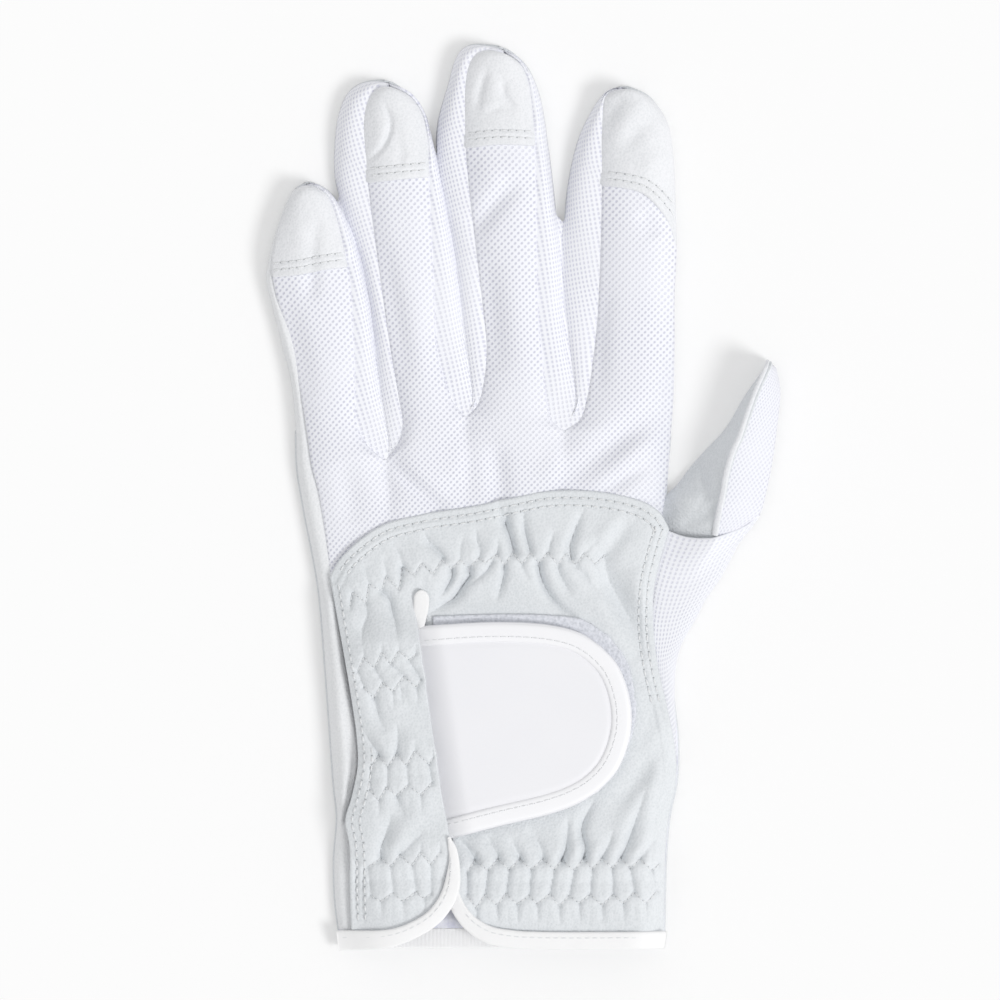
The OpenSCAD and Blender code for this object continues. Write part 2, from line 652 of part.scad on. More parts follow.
module finger_gusset(i) {
    color(mesh_colour)
        placed()
            sheet(gusset_grid(i), inside_of(gusset_grid(i), mesh_t));
}
module gusset_little_ring() { finger_gusset(0); }
module gusset_ring_middle() { finger_gusset(1); }
module gusset_middle_index() { finger_gusset(2); }

module tip_cap(i) {
    under = cap_grid(i);
    color(leather_colour)
        placed()
            sheet(below(under, -leather_t), under);
}
module tip_cap_little() { tip_cap(0); }
module tip_cap_ring() { tip_cap(1); }
module tip_cap_middle() { tip_cap(2); }
module tip_cap_index() { tip_cap(3); }

module thumb_gusset() {
    grid = [for (y = thumb_gusset_ys) thumb_gusset_row(y)];
    color(mesh_colour)
        placed()
            sheet(grid, inside_of(grid, mesh_t));
}

module thumb_palm() {
    grid = [for (t = thumb_ts) thumb_row(t, thumb_leather_section(t))];
    color(leather_colour)
        placed()
            sheet(grid, inside_of(grid, leather_t));
}

module thumb_back() {
    grid = [for (t = thumb_ts) thumb_row(t, thumb_mesh_section(t))];
    color(mesh_colour)
        placed()
            sheet(grid, inside_of(grid, mesh_t));
}

module wrist_panel() {
    color(leather_colour)
        placed()
            sheet(below(panel_low_grid, -leather_t), panel_low_grid, panel_slit_cells);
}

module flap_binding() {
    color(tape_colour)
        placed()
            tape(flap_path, flap_widths);
}

module slit_binding() {
    color(tape_colour)
        placed()
            tape(slit_path, slit_widths);
}

// Knit band sewn inside the palm's end at the cuff
band_end_little = 2;
band_end_thumb = 2.4;
band_t = elastic_t + 0.3;
module palm_cuff_band() {
    color(elastic_colour)
        placed()
            translate([cuff_left + band_end_little, 0, leather_t + seam_gap / 2])
                cube([cuff_width - band_end_little - band_end_thumb, band_top_y, band_t]);
}

// Elastic strips follow the underside of the panel, from one share across it to another
side_elastic_width = 1.3 * elastic_width;
cuff_elastic_width = 1.5 * elastic_width;
module elastic(side, from_u, to_u, row_y, width) {
    grid = [
        for (y = [row_y - width / 2, row_y + width / 2]) [
            for (k = steps(6))
                let(u = lerp(from_u, to_u, k))
                [panel_x(side, u, y), y, panel_base_z(side, u, y) - seam_gap]
        ]
    ];
    color(elastic_colour)
        placed()
            sheet(grid, below(grid, elastic_t));
}
module knuckle_elastic() { elastic(1, 0.01, 0.68, knuckle_row_y, elastic_width); }
module side_elastic_upper() { elastic(0, 0.08, 0.5, side_row_upper_y, side_elastic_width); }
module side_elastic_lower() { elastic(0, 0.08, 0.5, side_row_lower_y, side_elastic_width); }
module cuff_elastic_little() { elastic(0, 0.08, 0.62, cuff_row_y, cuff_elastic_width); }
module cuff_elastic_thumb() { elastic(1, 0.16, 0.9, cuff_row_y, cuff_elastic_width); }

// Distances of the fastener patches from the tab's fold, past the tape, and from its binding
loop_clear = 2;
hook_clear = 3;
hook_inset = 0.5;
module loop_patch() {
    color(loop_colour)
        placed()
            on_fold()
                tab_slab(-loop_margin, tape_width + loop_clear, loop_z, fastener_t);
}

// Sewn end of the tab under the little finger's flap, clear of the slit's end
root_depth = 7.5;
root_end_low = 1;
root_end_high = 9;
module tab_root() {
    color(tape_colour)
        placed()
            on_fold()
                translate([-fold_bead - seam_gap - root_depth, -tab_width / 2 + root_end_low, face_z])
                    cube([root_depth, tab_width - root_end_low - root_end_high, tab_t]);
}

module tab_face() {
    color(tape_colour)
        placed()
            on_fold()
                union() {
                    tab_slab(tape_t + tape_gap, 0, face_z, tab_t);
                    translate([0, tab_width / 2 - bead_end, fold_z])
                        rotate([90, 0, 0])
                            cylinder(r = fold_bead, h = tab_width - 2 * bead_end, $fn = 32);
                }
}

module tab_binding() {
    color(tape_colour)
        placed()
            on_fold()
                difference() {
                    tab_slab(0, fold_bead + 1, face_z - tape_gap - tape_t, tab_t + 2 * (tape_gap + tape_t));
                    tab_slab(tab_tape_width, 0, face_z - 1, tab_t + 2);
                    tab_slab(tape_t, 0, face_z - tape_gap, tab_t + 2 * tape_gap);
                }
}

module tab_hook() {
    color(loop_colour)
        placed()
            on_fold()
                tab_slab(tab_tape_width + hook_inset, tape_width + hook_clear, hook_z, fastener_t);
}

palm_panel();
little_edge_wrap();
back_panel();
gusset_little_ring();
gusset_ring_middle();
gusset_middle_index();
tip_cap_little();
tip_cap_ring();
tip_cap_middle();
tip_cap_index();
thumb_gusset();
thumb_palm();
thumb_back();
wrist_panel();
flap_binding();
slit_binding();
palm_cuff_band();
knuckle_elastic();
side_elastic_upper();
side_elastic_lower();
cuff_elastic_little();
cuff_elastic_thumb();
loop_patch();
tab_root();
tab_face();
tab_binding();
tab_hook();
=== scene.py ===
"""Knit, leather and stitching of a golf glove that lies palm down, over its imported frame.

Plan outlines are lists of photo pixels, heights and sizes are millimetres, and meshes are metres.
Shares run from 0 to 1 along a line or across a panel: t goes up a finger and u or c across it."""

import json
import math

import bpy
import numpy as np
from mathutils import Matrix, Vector
from mathutils.kdtree import KDTree

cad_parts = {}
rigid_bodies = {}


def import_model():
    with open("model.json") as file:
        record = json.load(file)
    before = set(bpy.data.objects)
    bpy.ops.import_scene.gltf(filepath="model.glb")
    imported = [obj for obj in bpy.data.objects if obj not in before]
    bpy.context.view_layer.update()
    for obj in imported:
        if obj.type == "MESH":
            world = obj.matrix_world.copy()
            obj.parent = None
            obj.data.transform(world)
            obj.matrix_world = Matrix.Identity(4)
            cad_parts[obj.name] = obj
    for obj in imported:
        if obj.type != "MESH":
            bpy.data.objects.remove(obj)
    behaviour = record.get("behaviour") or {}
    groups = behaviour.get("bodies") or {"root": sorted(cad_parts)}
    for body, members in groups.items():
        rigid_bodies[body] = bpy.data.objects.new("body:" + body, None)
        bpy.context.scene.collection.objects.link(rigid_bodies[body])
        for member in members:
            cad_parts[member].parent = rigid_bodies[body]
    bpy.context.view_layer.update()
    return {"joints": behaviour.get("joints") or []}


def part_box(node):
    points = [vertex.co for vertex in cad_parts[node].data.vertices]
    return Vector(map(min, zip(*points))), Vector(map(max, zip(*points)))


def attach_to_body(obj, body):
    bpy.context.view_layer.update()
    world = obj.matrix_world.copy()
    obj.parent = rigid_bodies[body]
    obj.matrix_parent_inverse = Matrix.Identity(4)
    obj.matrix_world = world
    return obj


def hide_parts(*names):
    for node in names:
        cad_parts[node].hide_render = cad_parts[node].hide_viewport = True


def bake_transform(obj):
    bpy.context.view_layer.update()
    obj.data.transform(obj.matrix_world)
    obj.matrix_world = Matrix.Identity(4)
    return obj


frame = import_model()

# The photo's scale, and the pixel over the frame's origin
PIXEL = 0.25
ORIGIN_PIXEL = (523.1, 495.5)
PHOTO_SIDE = 1000
METRE = 0.001
TINY = 1e-9

# Thicknesses
LEATHER = 0.8
KNIT = 0.7

# Heights above the floor
FOOT = 1.6
SEAM = 6.3
CROWN = 2.7
LOOP_GAP = 0.15
PANEL_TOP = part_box("loop_patch")[0][2] / METRE - LOOP_GAP
TAB_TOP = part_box("tab_face")[1][2] / METRE
FLAP_LIFT = 4.05
THUMB_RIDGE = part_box("thumb_palm")[1][2] / METRE
ROOT_RISE = 8.2

# Finger outlines from the root to the tip: the back strip, and the palm below it
STRIP_LEFT = {
    "little": [(308, 440), (301, 395), (290, 340), (275, 290), (272, 265), (277, 232), (287, 205),
               (294, 192), (301, 186.5), (307.3, 185)],
    "ring": [(387, 459), (397, 447), (403, 425), (399, 397), (390, 345), (376, 245), (369, 190), (365, 145),
             (364, 122), (367, 104), (373, 92), (381, 87), (389.8, 86.3)],
    "middle": [(468, 416), (478, 405), (484, 383), (487, 350), (484, 315), (470, 195), (466, 147),
               (465, 107), (466, 80), (470, 63), (477, 53.5), (486, 50.5), (496, 51), (505.8, 53.6)],
    "index": [(566, 430), (580, 420), (587, 400), (593, 362), (598, 315), (602, 200), (602, 140),
              (603, 108), (605, 97), (611, 92), (617, 90), (623.8, 89.2)],
}
STRIP_RIGHT = {
    "little": [(383, 459), (367, 445), (357, 425), (355, 395), (354, 352), (350, 282), (346, 260),
               (338, 222), (328, 196), (320, 189), (314, 186), (307.7, 185)],
    "ring": [(464, 416), (452, 400), (444, 378), (437, 352), (434, 290), (429, 180), (428, 140), (422, 113),
             (411, 97), (402, 91), (390.2, 86.3)],
    "middle": [(562, 430), (551, 419), (546, 395), (542, 355), (538, 310), (536, 185), (535, 145),
               (532, 105), (528, 80), (522, 66), (515, 59), (506.2, 53.7)],
    "index": [(671, 437), (674, 395), (675, 345), (675, 295), (677, 250), (676, 205), (674, 158),
              (669, 125), (661, 109), (653, 99.5), (643, 93), (633, 90), (624.2, 89.2)],
}
PALM_LEFT = {
    "little": [(296, 432), (291, 382), (282, 345), (271, 302), (266, 280), (269, 257), (276, 230),
               (285, 205), (293, 190), (300, 185), (307.3, 183.3)],
    "ring": [(389.6, 447), (386, 420), (379, 370), (372, 310), (362, 260), (345, 213), (335, 180),
             (334, 150), (338, 115), (347, 93), (357, 84.5), (367, 81), (377, 80.5), (387.8, 82.2)],
    "middle": [(473.6, 401), (471, 377), (464, 320), (454, 245), (444, 195), (437, 160), (437, 125),
               (449, 80), (454, 62), (460, 50.5), (468, 45), (478, 44), (490, 45.5), (502.8, 48.8)],
    "index": [(577.6, 403), (572, 357), (566, 307), (564, 250), (567, 190), (579, 137), (594, 107),
              (601, 97), (608, 91), (616, 88.5), (623.8, 87.8)],
}
PALM_RIGHT = {
    "little": [(389.4, 447), (384, 420), (377, 370), (370, 310), (360, 260), (352, 235), (342, 210),
               (331, 193), (322, 186.5), (315, 184), (307.7, 183.3)],
    "ring": [(473.4, 401), (469, 377), (462, 320), (452, 245), (441, 180), (431, 133), (424, 111),
             (411, 95), (400, 87.5), (388.2, 82.2)],
    "middle": [(577.4, 403), (570, 375), (562, 307), (560, 257), (555, 200), (549, 150), (541, 100),
               (534, 79), (527, 66.5), (517, 56.5), (503.2, 48.9)],
    "index": [(670, 437), (672, 395), (673, 345), (673, 295), (675, 250), (674, 205), (672, 158),
              (667, 125), (660, 109), (652, 98), (642, 91.5), (632, 88.5), (624.2, 87.8)],
}
FINGERS = list(STRIP_LEFT)
CAP_HEM = {
    "little": [(271, 277), (300, 274), (325, 269), (347, 266)],
    "ring": [(369, 182), (400, 179), (430, 176)],
    "middle": [(466, 147), (500, 144), (535, 145)],
    "index": [(602, 185), (625, 188), (643, 193), (660, 208), (671, 224), (677, 246)],
}

# Hand and wrist outlines
HAND_LEFT = [(308, 440), (312, 467), (318, 490), (325, 530), (333, 592)]
HAND_RIGHT = [(671, 437), (669, 467), (665, 505), (660, 533)]
BACK_TUCK = [(333, 592), (352, 568), (383, 547), (425, 536), (475, 528), (517, 519), (550, 513), (600, 514),
             (640, 522), (660, 533)]
PALM_SIDE_LEFT = [(296, 432), (297, 467), (304, 511), (318, 586), (326, 679), (334, 788), (337, 818),
                  (334, 860), (335, 900), (341, 947)]
PALM_SIDE_RIGHT = [(670, 437), (666, 490), (668, 525), (690, 538), (736, 540), (728, 560), (717, 580),
                   (703, 600), (693, 620), (681, 640), (674, 662), (673, 690), (678, 742), (677, 781),
                   (670, 815), (666, 860), (664, 947)]
ARCH_LITTLE = [(331, 577), (338, 563), (352, 548), (383, 526), (428, 514)]
ARCH_THUMB = [(428, 514), (475, 507), (517, 498), (550, 492), (600, 493), (643, 503), (660, 514),
              (669, 529)]
PANEL_LEFT = [(331, 577), (343, 648), (351, 695), (357, 738), (358, 765), (352, 796), (346, 820),
              (350, 845), (351, 890), (352, 929)]
PANEL_RIGHT = [(669, 529), (661, 556), (654, 588), (653, 630), (657, 663), (668, 713), (676, 755),
               (676, 785), (670, 813), (666, 850), (664, 932)]
DIVIDE = [(428, 514), (424, 555), (421, 591)]
FLAP_EDGE = [(421, 591), (414, 603), (417, 627), (427, 697), (440, 787), (448, 832), (450, 850), (447, 868)]
FLAP_HEM = [(352, 929), (390, 928), (413, 923), (430, 910), (441, 891), (447, 868)]
SLIT_EDGE = [(421, 591), (428, 602), (427, 615), (425, 632), (435, 690), (446, 770), (454, 850), (457, 888)]
CUFF_HEM = [(457, 888), (460, 903), (470, 915), (487, 924), (510, 929), (540, 931), (664, 932)]

# The tab and its fastener
TAB_UPPER = [(398, 630), (437, 626), (500, 623), (550, 626), (580, 634), (600, 647)]
TAB_ROUND = [(600, 647), (616, 665), (626, 689), (630, 713), (628, 738), (616, 769), (597, 790)]
TAB_LOWER = [(425, 843), (450, 837), (500, 824), (550, 812), (575, 803), (597, 790)]
LOOP_UPPER = [(434, 617), (500, 615), (550, 616), (582, 620), (597, 628)]
LOOP_ROUND = [(597, 628), (609, 638), (619, 650), (628, 667), (633, 690), (635, 712), (630, 738),
              (604, 780)]
LOOP_LOWER = [(452, 822), (520, 812), (570, 797), (604, 780)]
HOOK_UPPER = [(450, 650), (500, 645), (545, 648), (575, 658)]
HOOK_ROUND = [(575, 658), (598, 680), (606, 713), (600, 743), (577, 770)]
HOOK_LOWER = [(464, 808), (500, 799), (545, 788), (577, 770)]

# The thumb and the panel at its root
THUMB_LEFT = [(656, 546), (657, 528), (664, 499), (678, 484), (690, 468), (703, 453), (726, 428),
              (745, 396), (761, 373), (768, 363)]
THUMB_CREST = [(716, 548), (717, 534), (720, 514), (724, 495), (728, 472), (734, 452), (741, 436),
               (749, 412), (758, 388), (764, 375), (770, 361)]
THUMB_RIGHT = [(742, 541), (750, 527), (761, 513), (767, 492), (773, 462), (778, 425), (781, 390),
               (777, 368)]
ROOT_FOLD = [(664, 530), (683, 537), (701, 539), (717, 538), (735, 532), (750, 525), (761, 515)]
ROOT_RIGHT = [(761, 515), (752, 528), (741, 541), (731, 560), (720, 580), (706, 600), (696, 620),
              (684, 640), (677, 662), (675, 695), (677, 742), (677, 782)]
ROOT_LEFT = [(664, 530), (655, 560), (647, 595), (646, 633), (650, 663), (660, 713), (668, 755), (671, 782)]


# Plan geometry
def plan(points):
    """Photo pixels as millimetres in the frame."""
    p = np.asarray(points, float)
    return np.stack([p[..., 0] - ORIGIN_PIXEL[0], ORIGIN_PIXEL[1] - p[..., 1]], -1) * PIXEL


def row_y(pixel):
    """A photo row as a place along the frame's y axis."""
    return plan((0, pixel))[1]


def shares(count):
    """Even steps from 0 to 1."""
    return np.linspace(0, 1, count)


def bell(x):
    """1 at 0, and towards 0 on both sides."""
    return np.exp(-(x**2))


def smooth(x):
    x = np.clip(x, 0, 1)
    return x * x * (3 - 2 * x)


def lerp(a, b, t):
    return a + (b - a) * t


def ramp(x, start, run):
    """0 up to start, and smoothly up to 1 over a run."""
    return smooth((x - start) / run)


def evened(values, reach):
    """A running mean over reach neighbours on each side."""
    width = 2 * reach + 1
    return np.convolve(np.pad(values, reach, mode="edge"), np.ones(width) / width, mode="valid")


def stacked(*layers):
    """Grids as the layers of one, each stretched to the size of all."""
    return np.dstack(np.broadcast_arrays(*layers))


def unit(vectors):
    return vectors / np.maximum(np.linalg.norm(vectors, axis=-1, keepdims=True), TINY)


def distances(line):
    """How far along a line each of its points lies."""
    return np.concatenate([[0], np.cumsum(np.linalg.norm(np.diff(line, axis=0), axis=1))])


def sample(line, run, at):
    """Places on a line, where run says how far along each of its points lies."""
    return np.stack([np.interp(at, run, column) for column in line.T], -1)


def spaced(line, count):
    """A line as count points, evenly spaced along it."""
    run = distances(line)
    return sample(line, run, np.linspace(0, run[-1], count))


def spline(points, count, sub=40):
    """A smooth curve through points, as count evenly spaced points."""
    p = np.asarray(points, float)
    step = np.diff(p, axis=0)
    gap = np.sqrt(np.linalg.norm(step, axis=1))[:, None]
    slope = step / gap
    inner = (slope[:-1] * gap[1:] + slope[1:] * gap[:-1]) / (gap[1:] + gap[:-1])
    tangent = np.vstack([slope[:1], inner, slope[-1:]])
    s = np.linspace(0, 1, sub, endpoint=False)[None, :, None]
    g = gap[:, None]
    arcs = (
        (2 * s**3 - 3 * s**2 + 1) * p[:-1, None]
        + (s**3 - 2 * s**2 + s) * g * tangent[:-1, None]
        + (3 * s**2 - 2 * s**3) * p[1:, None]
        + (s**3 - s**2) * g * tangent[1:, None]
    )
    return spaced(np.vstack([arcs.reshape(-1, p.shape[1]), p[-1:]]), count)


def outline(points, count):
    return spline(plan(points), count)


def walk(line, at):
    """Points at shares of an evenly spaced line."""
    return sample(line, np.arange(len(line)), np.asarray(at) * (len(line) - 1))


def share_near(line, point):
    return np.argmin(np.linalg.norm(line - point, axis=1)) / (len(line) - 1)


def run_length(line):
    return np.linalg.norm(np.diff(line, axis=0), axis=1).sum()


def coons(first, last, left, right):
    """A grid of rows stretched between four edges that meet at their corners."""
    v = np.linspace(0, 1, len(left))[:, None, None]
    u = np.linspace(0, 1, len(first))[None, :, None]
    rows = (1 - v) * first[None] + v * last[None]
    columns = (1 - u) * left[:, None] + u * right[:, None]
    corners = (1 - v) * ((1 - u) * first[0] + u * first[-1]) + v * ((1 - u) * last[0] + u * last[-1])
    return rows + columns - corners


def offset(line, distance):
    """A plan line moved sideways, to the left of its direction where distance is positive."""
    run = np.gradient(line, axis=0)
    return line + unit(np.stack([-run[:, 1], run[:, 0]], -1)) * distance


def along(line, xy):
    """Distance of plan points from a line, and the share along it of the nearest place."""
    best = np.full(xy.shape[:-1], np.inf)
    share = np.zeros(xy.shape[:-1])
    lengths = np.linalg.norm(np.diff(line, axis=0), axis=1)
    starts = distances(line)
    for k, length in enumerate(lengths):
        run = (line[k + 1] - line[k]) / length
        t = np.clip((xy - line[k]) @ run, 0, length)
        gap = np.linalg.norm(xy - line[k] - t[..., None] * run, axis=-1)
        share = np.where(gap < best, (starts[k] + t) / starts[-1], share)
        best = np.minimum(gap, best)
    return best, share


# Folds, valleys and stitched grooves
FOLD_POINTS = 12
FOLD_END = 0.02
FOLD_FADE = 0.6
VALLEY_POINTS = 10
VALLEY_SCALE = 1.9
SHARP_SHARE = 0.6
SHARP_REACH, SOFT_REACH = 0.5, 1.6
GROOVE_WIDTH, GROOVE_DEPTH = 0.4, 0.12
RIDGE_WIDTH, RIDGE_HEIGHT = 0.6, 0.18


def crease(xy, points, width, height):
    """A fold along a line, up or down, that dies out at both ends."""
    gap, share = along(outline(points, FOLD_POINTS), xy)
    fade = np.sin(np.pi * np.clip(share, FOLD_END, 1 - FOLD_END)) ** FOLD_FADE
    return height * bell(gap / width) * fade


def creases(xy, folds):
    return sum(crease(xy, *fold) for fold in folds)


def valley(xy, points, width, depth, fade):
    """A sharp fold downwards along a line, with fade of its depth lost by the end."""
    gap, share = along(outline(points, VALLEY_POINTS), xy)
    sharp = np.exp(-gap / (SHARP_REACH * width))
    soft = bell(gap / (SOFT_REACH * width))
    shape = SHARP_SHARE * sharp + (1 - SHARP_SHARE) * soft
    return -VALLEY_SCALE * depth * (1 - fade * share**2) * shape


def valleys(xy, lines):
    return sum(valley(xy, *line, 1) for line in lines)


def pressed(xy, line, rows):
    """Grooves that rows of stitches press into leather beside its edge, and the ridge between them."""
    gap, _ = along(line, xy)
    grooves = sum(bell((gap - row) / GROOVE_WIDTH) for row in rows)
    ridge = bell((gap - np.mean(rows)) / RIDGE_WIDTH)
    return RIDGE_HEIGHT * ridge - GROOVE_DEPTH * grooves


# Meshes
RIM_BULGE = 0.4
NEIGHBOURS = 4
NEAR = 1e-3
LEVEL_UP = (0.0, 0.0, 1.0)


def cells(ids):
    """Four-sided faces over a grid of point numbers, rows going away and columns to the right."""
    return np.stack([ids[:-1, :-1], ids[:-1, 1:], ids[1:, 1:], ids[1:, :-1]], -1).reshape(-1, 4)


def tube_faces(ids):
    """Faces of a closed tube over rings of point numbers, one ring a row."""
    return cells(np.hstack([ids, ids[:, :1]])).tolist() + [ids[0].tolist(), ids[-1][::-1].tolist()]


def face_crosses(points, faces):
    """Normals of four-sided faces, twice as long as the faces' areas."""
    a, b, c, d = (points[faces[:, k]] for k in range(4))
    return np.cross(c - a, d - b)


def point_normals(points, faces):
    across = face_crosses(points, faces)
    total = np.zeros_like(points)
    for k in range(4):
        np.add.at(total, faces[:, k], across)
    return unit(total)


def open_edges(faces, count):
    """Edges that only one face has."""
    edges = np.concatenate([faces[:, [k, (k + 1) % 4]] for k in range(4)])
    keys = edges[:, 0] * count + edges[:, 1]
    back = edges[:, 1] * count + edges[:, 0]
    return edges[~np.isin(keys, back)]


def plan_tree(points):
    """A search tree of points by their place in plan."""
    tree = KDTree(len(points))
    for k, p in enumerate(points):
        tree.insert((p[0], p[1], 0), k)
    tree.balance()
    return tree


def add_mesh(name, points, faces, uv, materials, face_material=None):
    """A smooth-shaded object from points in millimetres."""
    mesh = bpy.data.meshes.new(name)
    mesh.from_pydata((points * METRE).tolist(), [], [list(f) for f in faces])
    layer = mesh.uv_layers.new(name="pattern")
    corners = np.empty(len(mesh.loops), int)
    mesh.loops.foreach_get("vertex_index", corners)
    layer.data.foreach_set("uv", np.asarray(uv, np.float32)[corners].ravel())
    for material in materials:
        mesh.materials.append(material)
    if face_material is not None:
        mesh.polygons.foreach_set("material_index", np.asarray(face_material, np.int32))
    mesh.shade_smooth()
    mesh.update()
    made = bpy.data.objects.new(name, mesh)
    bpy.context.scene.collection.objects.link(made)
    return made


class Surface:
    """Points and normals of a surface that stitches can lie on."""

    def __init__(self, points, normals):
        self.points = points
        self.normals = normals
        self.tree = None

    def at(self, xy):
        """Heights and normals at plan points, from the surface's nearest points."""
        if self.tree is None:
            self.tree = plan_tree(self.points)
        z, normal = [], []
        for x, y in xy:
            found = self.tree.find_n((x, y, 0), NEIGHBOURS)
            weight = np.array([1 / (f[2] + NEAR) for f in found])
            weight /= weight.sum()
            ids = [f[1] for f in found]
            z.append(weight @ self.points[ids, 2])
            normal.append(weight @ self.normals[ids])
        return np.array(z), unit(np.array(normal))


class Cloth(Surface):
    """A closed sheet: a top surface of four-sided faces, thickened downwards, with rounded edges. With two
    materials the first is on the top, and the second on the rest."""

    def __init__(self, name, points, faces, thick, materials, uv=None):
        super().__init__(points, point_normals(points, faces))
        if uv is None:
            uv = points[:, :2]
        count = len(points)
        low = points - self.normals * thick
        rim = open_edges(faces, count)
        out = np.zeros_like(points)
        run = points[rim[:, 1]] - points[rim[:, 0]]
        for k in range(2):
            np.add.at(out, rim[:, k], np.cross(run, self.normals[rim[:, k]]))
        rim_ids = np.unique(rim)
        number = np.zeros(count, int)
        number[rim_ids] = 2 * count + np.arange(len(rim_ids))
        middle = ((points + low) / 2 + unit(out) * thick * RIM_BULGE)[rim_ids]
        a, b = rim.T
        all_faces = np.concatenate([
            faces,
            faces[:, ::-1] + count,
            np.stack([b, a, number[a], number[b]], -1),
            np.stack([number[b], number[a], a + count, b + count], -1),
        ])
        all_points = np.vstack([points, low, middle])
        all_uv = np.vstack([uv, uv, uv[rim_ids]])
        face_material = None
        if len(materials) > 1:
            face_material = np.arange(len(all_faces)) >= len(faces)
        self.object = add_mesh(name, all_points, all_faces, all_uv, materials, face_material)
        self.area = np.linalg.norm(face_crosses(points, faces), axis=1).sum() / 2 * METRE**2
        self.plan_size = np.ptp(points[:, :2], axis=0)


def grid_cloth(name, grid, thick, materials, uv=None, flip=False):
    rows, columns = grid.shape[:2]
    ids = np.arange(rows * columns).reshape(rows, columns)
    faces = cells(ids[::-1] if flip else ids)
    flat_uv = None if uv is None else uv.reshape(-1, 2)
    return Cloth(name, grid.reshape(-1, 3), faces, thick, materials, flat_uv)


def sideways(run, up):
    """Unit directions to the left of a run, and out of the surface it lies on."""
    run = unit(run)
    side = unit(np.cross(up, run))
    return side, np.cross(run, side)


def tape(name, path, up, width, thick, material, sides, power):
    """A flat tape swept along a path on a surface, with softer edges for a higher power."""
    side, out = sideways(np.gradient(path, axis=0), up)
    width = np.broadcast_to(width, len(path))[:, None, None]
    angle = np.linspace(0, 2 * np.pi, sides, endpoint=False)
    across = np.sign(np.cos(angle)) * np.abs(np.cos(angle)) ** power / 2
    rise = np.sin(angle) * thick / 2
    rings = path[:, None] + across[None, :, None] * width * side[:, None] + rise[None, :, None] * out[:, None]
    faces = tube_faces(np.arange(len(path) * sides).reshape(len(path), sides))
    uv = np.stack(np.broadcast_arrays(distances(path)[:, None], across[None] * width[..., 0]), -1)
    return add_mesh(name, rings.reshape(-1, 3), faces, uv.reshape(-1, 2), [material])


# Stitches: a thread's rings are shares of its half length and of its radius
STITCH_RINGS = [(-1, 0.25), (-0.8, 0.75), (-0.4, 1), (0.4, 1), (0.8, 0.75), (1, 0.25)]
STITCH_SIDES = 7
STITCH_FLATNESS = 0.8
# Needle holes are short dark marks on the surface: painted shade where a hole would be.
HOLE_SHADE_SHARE = 0.2
CAP_THREAD = {"pitch": 1.9, "length": 1.45, "hole_shade_radius": 0.2}
HEM_THREAD = {"pitch": 2.2, "length": 1.35}
TAPE_THREAD = {"pitch": 1.9, "length": 1.3, "radius": 0.15, "lift": 0.2, "hole_shade_radius": 0.1}
ZIGZAG_THREAD = {"pitch": 1.3, "length": 0.95, "radius": 0.16, "hole_shade_radius": 0.14}
TAB_THREAD = {"pitch": 1.9, "length": 1.2, "radius": 0.13, "hole_shade_radius": 0.1}


def stitch_mesh(name, parts, materials):
    """Short threads as one object. Each part holds thread ends, normals, a radius and a material number."""
    angle = np.arange(STITCH_SIDES) * 2 * np.pi / STITCH_SIDES
    shape = np.array([(t, r * math.cos(a), r * math.sin(a)) for t, r in STITCH_RINGS for a in angle])
    one_thread = tube_faces(np.arange(len(shape)).reshape(-1, STITCH_SIDES))
    points, faces, numbers = [], [], []
    for ends, up, radius, number in parts:
        middle = ends.mean(1)
        half = (ends[:, 1] - ends[:, 0]) / 2
        side, out = sideways(half, up)
        for k in range(len(middle)):
            base = len(points) * len(shape)
            axes = np.stack([half[k], side[k] * radius, out[k] * radius * STITCH_FLATNESS])
            points.append(middle[k] + shape @ axes)
            faces += [[n + base for n in face] for face in one_thread]
            numbers += [number] * len(one_thread)
    points = np.vstack(points)
    return add_mesh(name, points, faces, points[:, :2], materials, numbers)


def thread_row(line, surface, pitch, length, radius=0.24, lift=0.1, hole_shade_radius=0.29):
    """A row of stitches along a plan line on a surface, with a dark mark of painted shade for a needle hole
    at each gap.
    """
    run = distances(line)
    count = max(1, int(run[-1] / pitch))
    centre = (np.arange(count) + 0.5) * run[-1] / count

    def spots(at, height):
        xy = sample(line, run, at)
        z, up = surface.at(xy)
        return np.column_stack([xy, z]) + up * height, up

    start, up = spots(centre - length / 2, lift)
    end, _ = spots(centre + length / 2, lift)
    # A dark mark at each gap, painted shade for a needle hole.
    hole, hole_shade_up = spots((centre + run[-1] / count / 2)[:-1], 0.0)
    hole_shade_run = np.stack([hole, hole + (end - start)[:-1] * HOLE_SHADE_SHARE], 1)
    return [(np.stack([start, end], 1), up, radius, 0), (hole_shade_run, hole_shade_up, hole_shade_radius, 1)]


# Materials
def tone(red, green, blue):
    """A screen colour, 0 to 255, as a shader colour."""
    s = np.array([red, green, blue]) / 255
    return (*np.where(s <= 0.04045, s / 12.92, ((s + 0.055) / 1.055) ** 2.4).tolist(), 1)


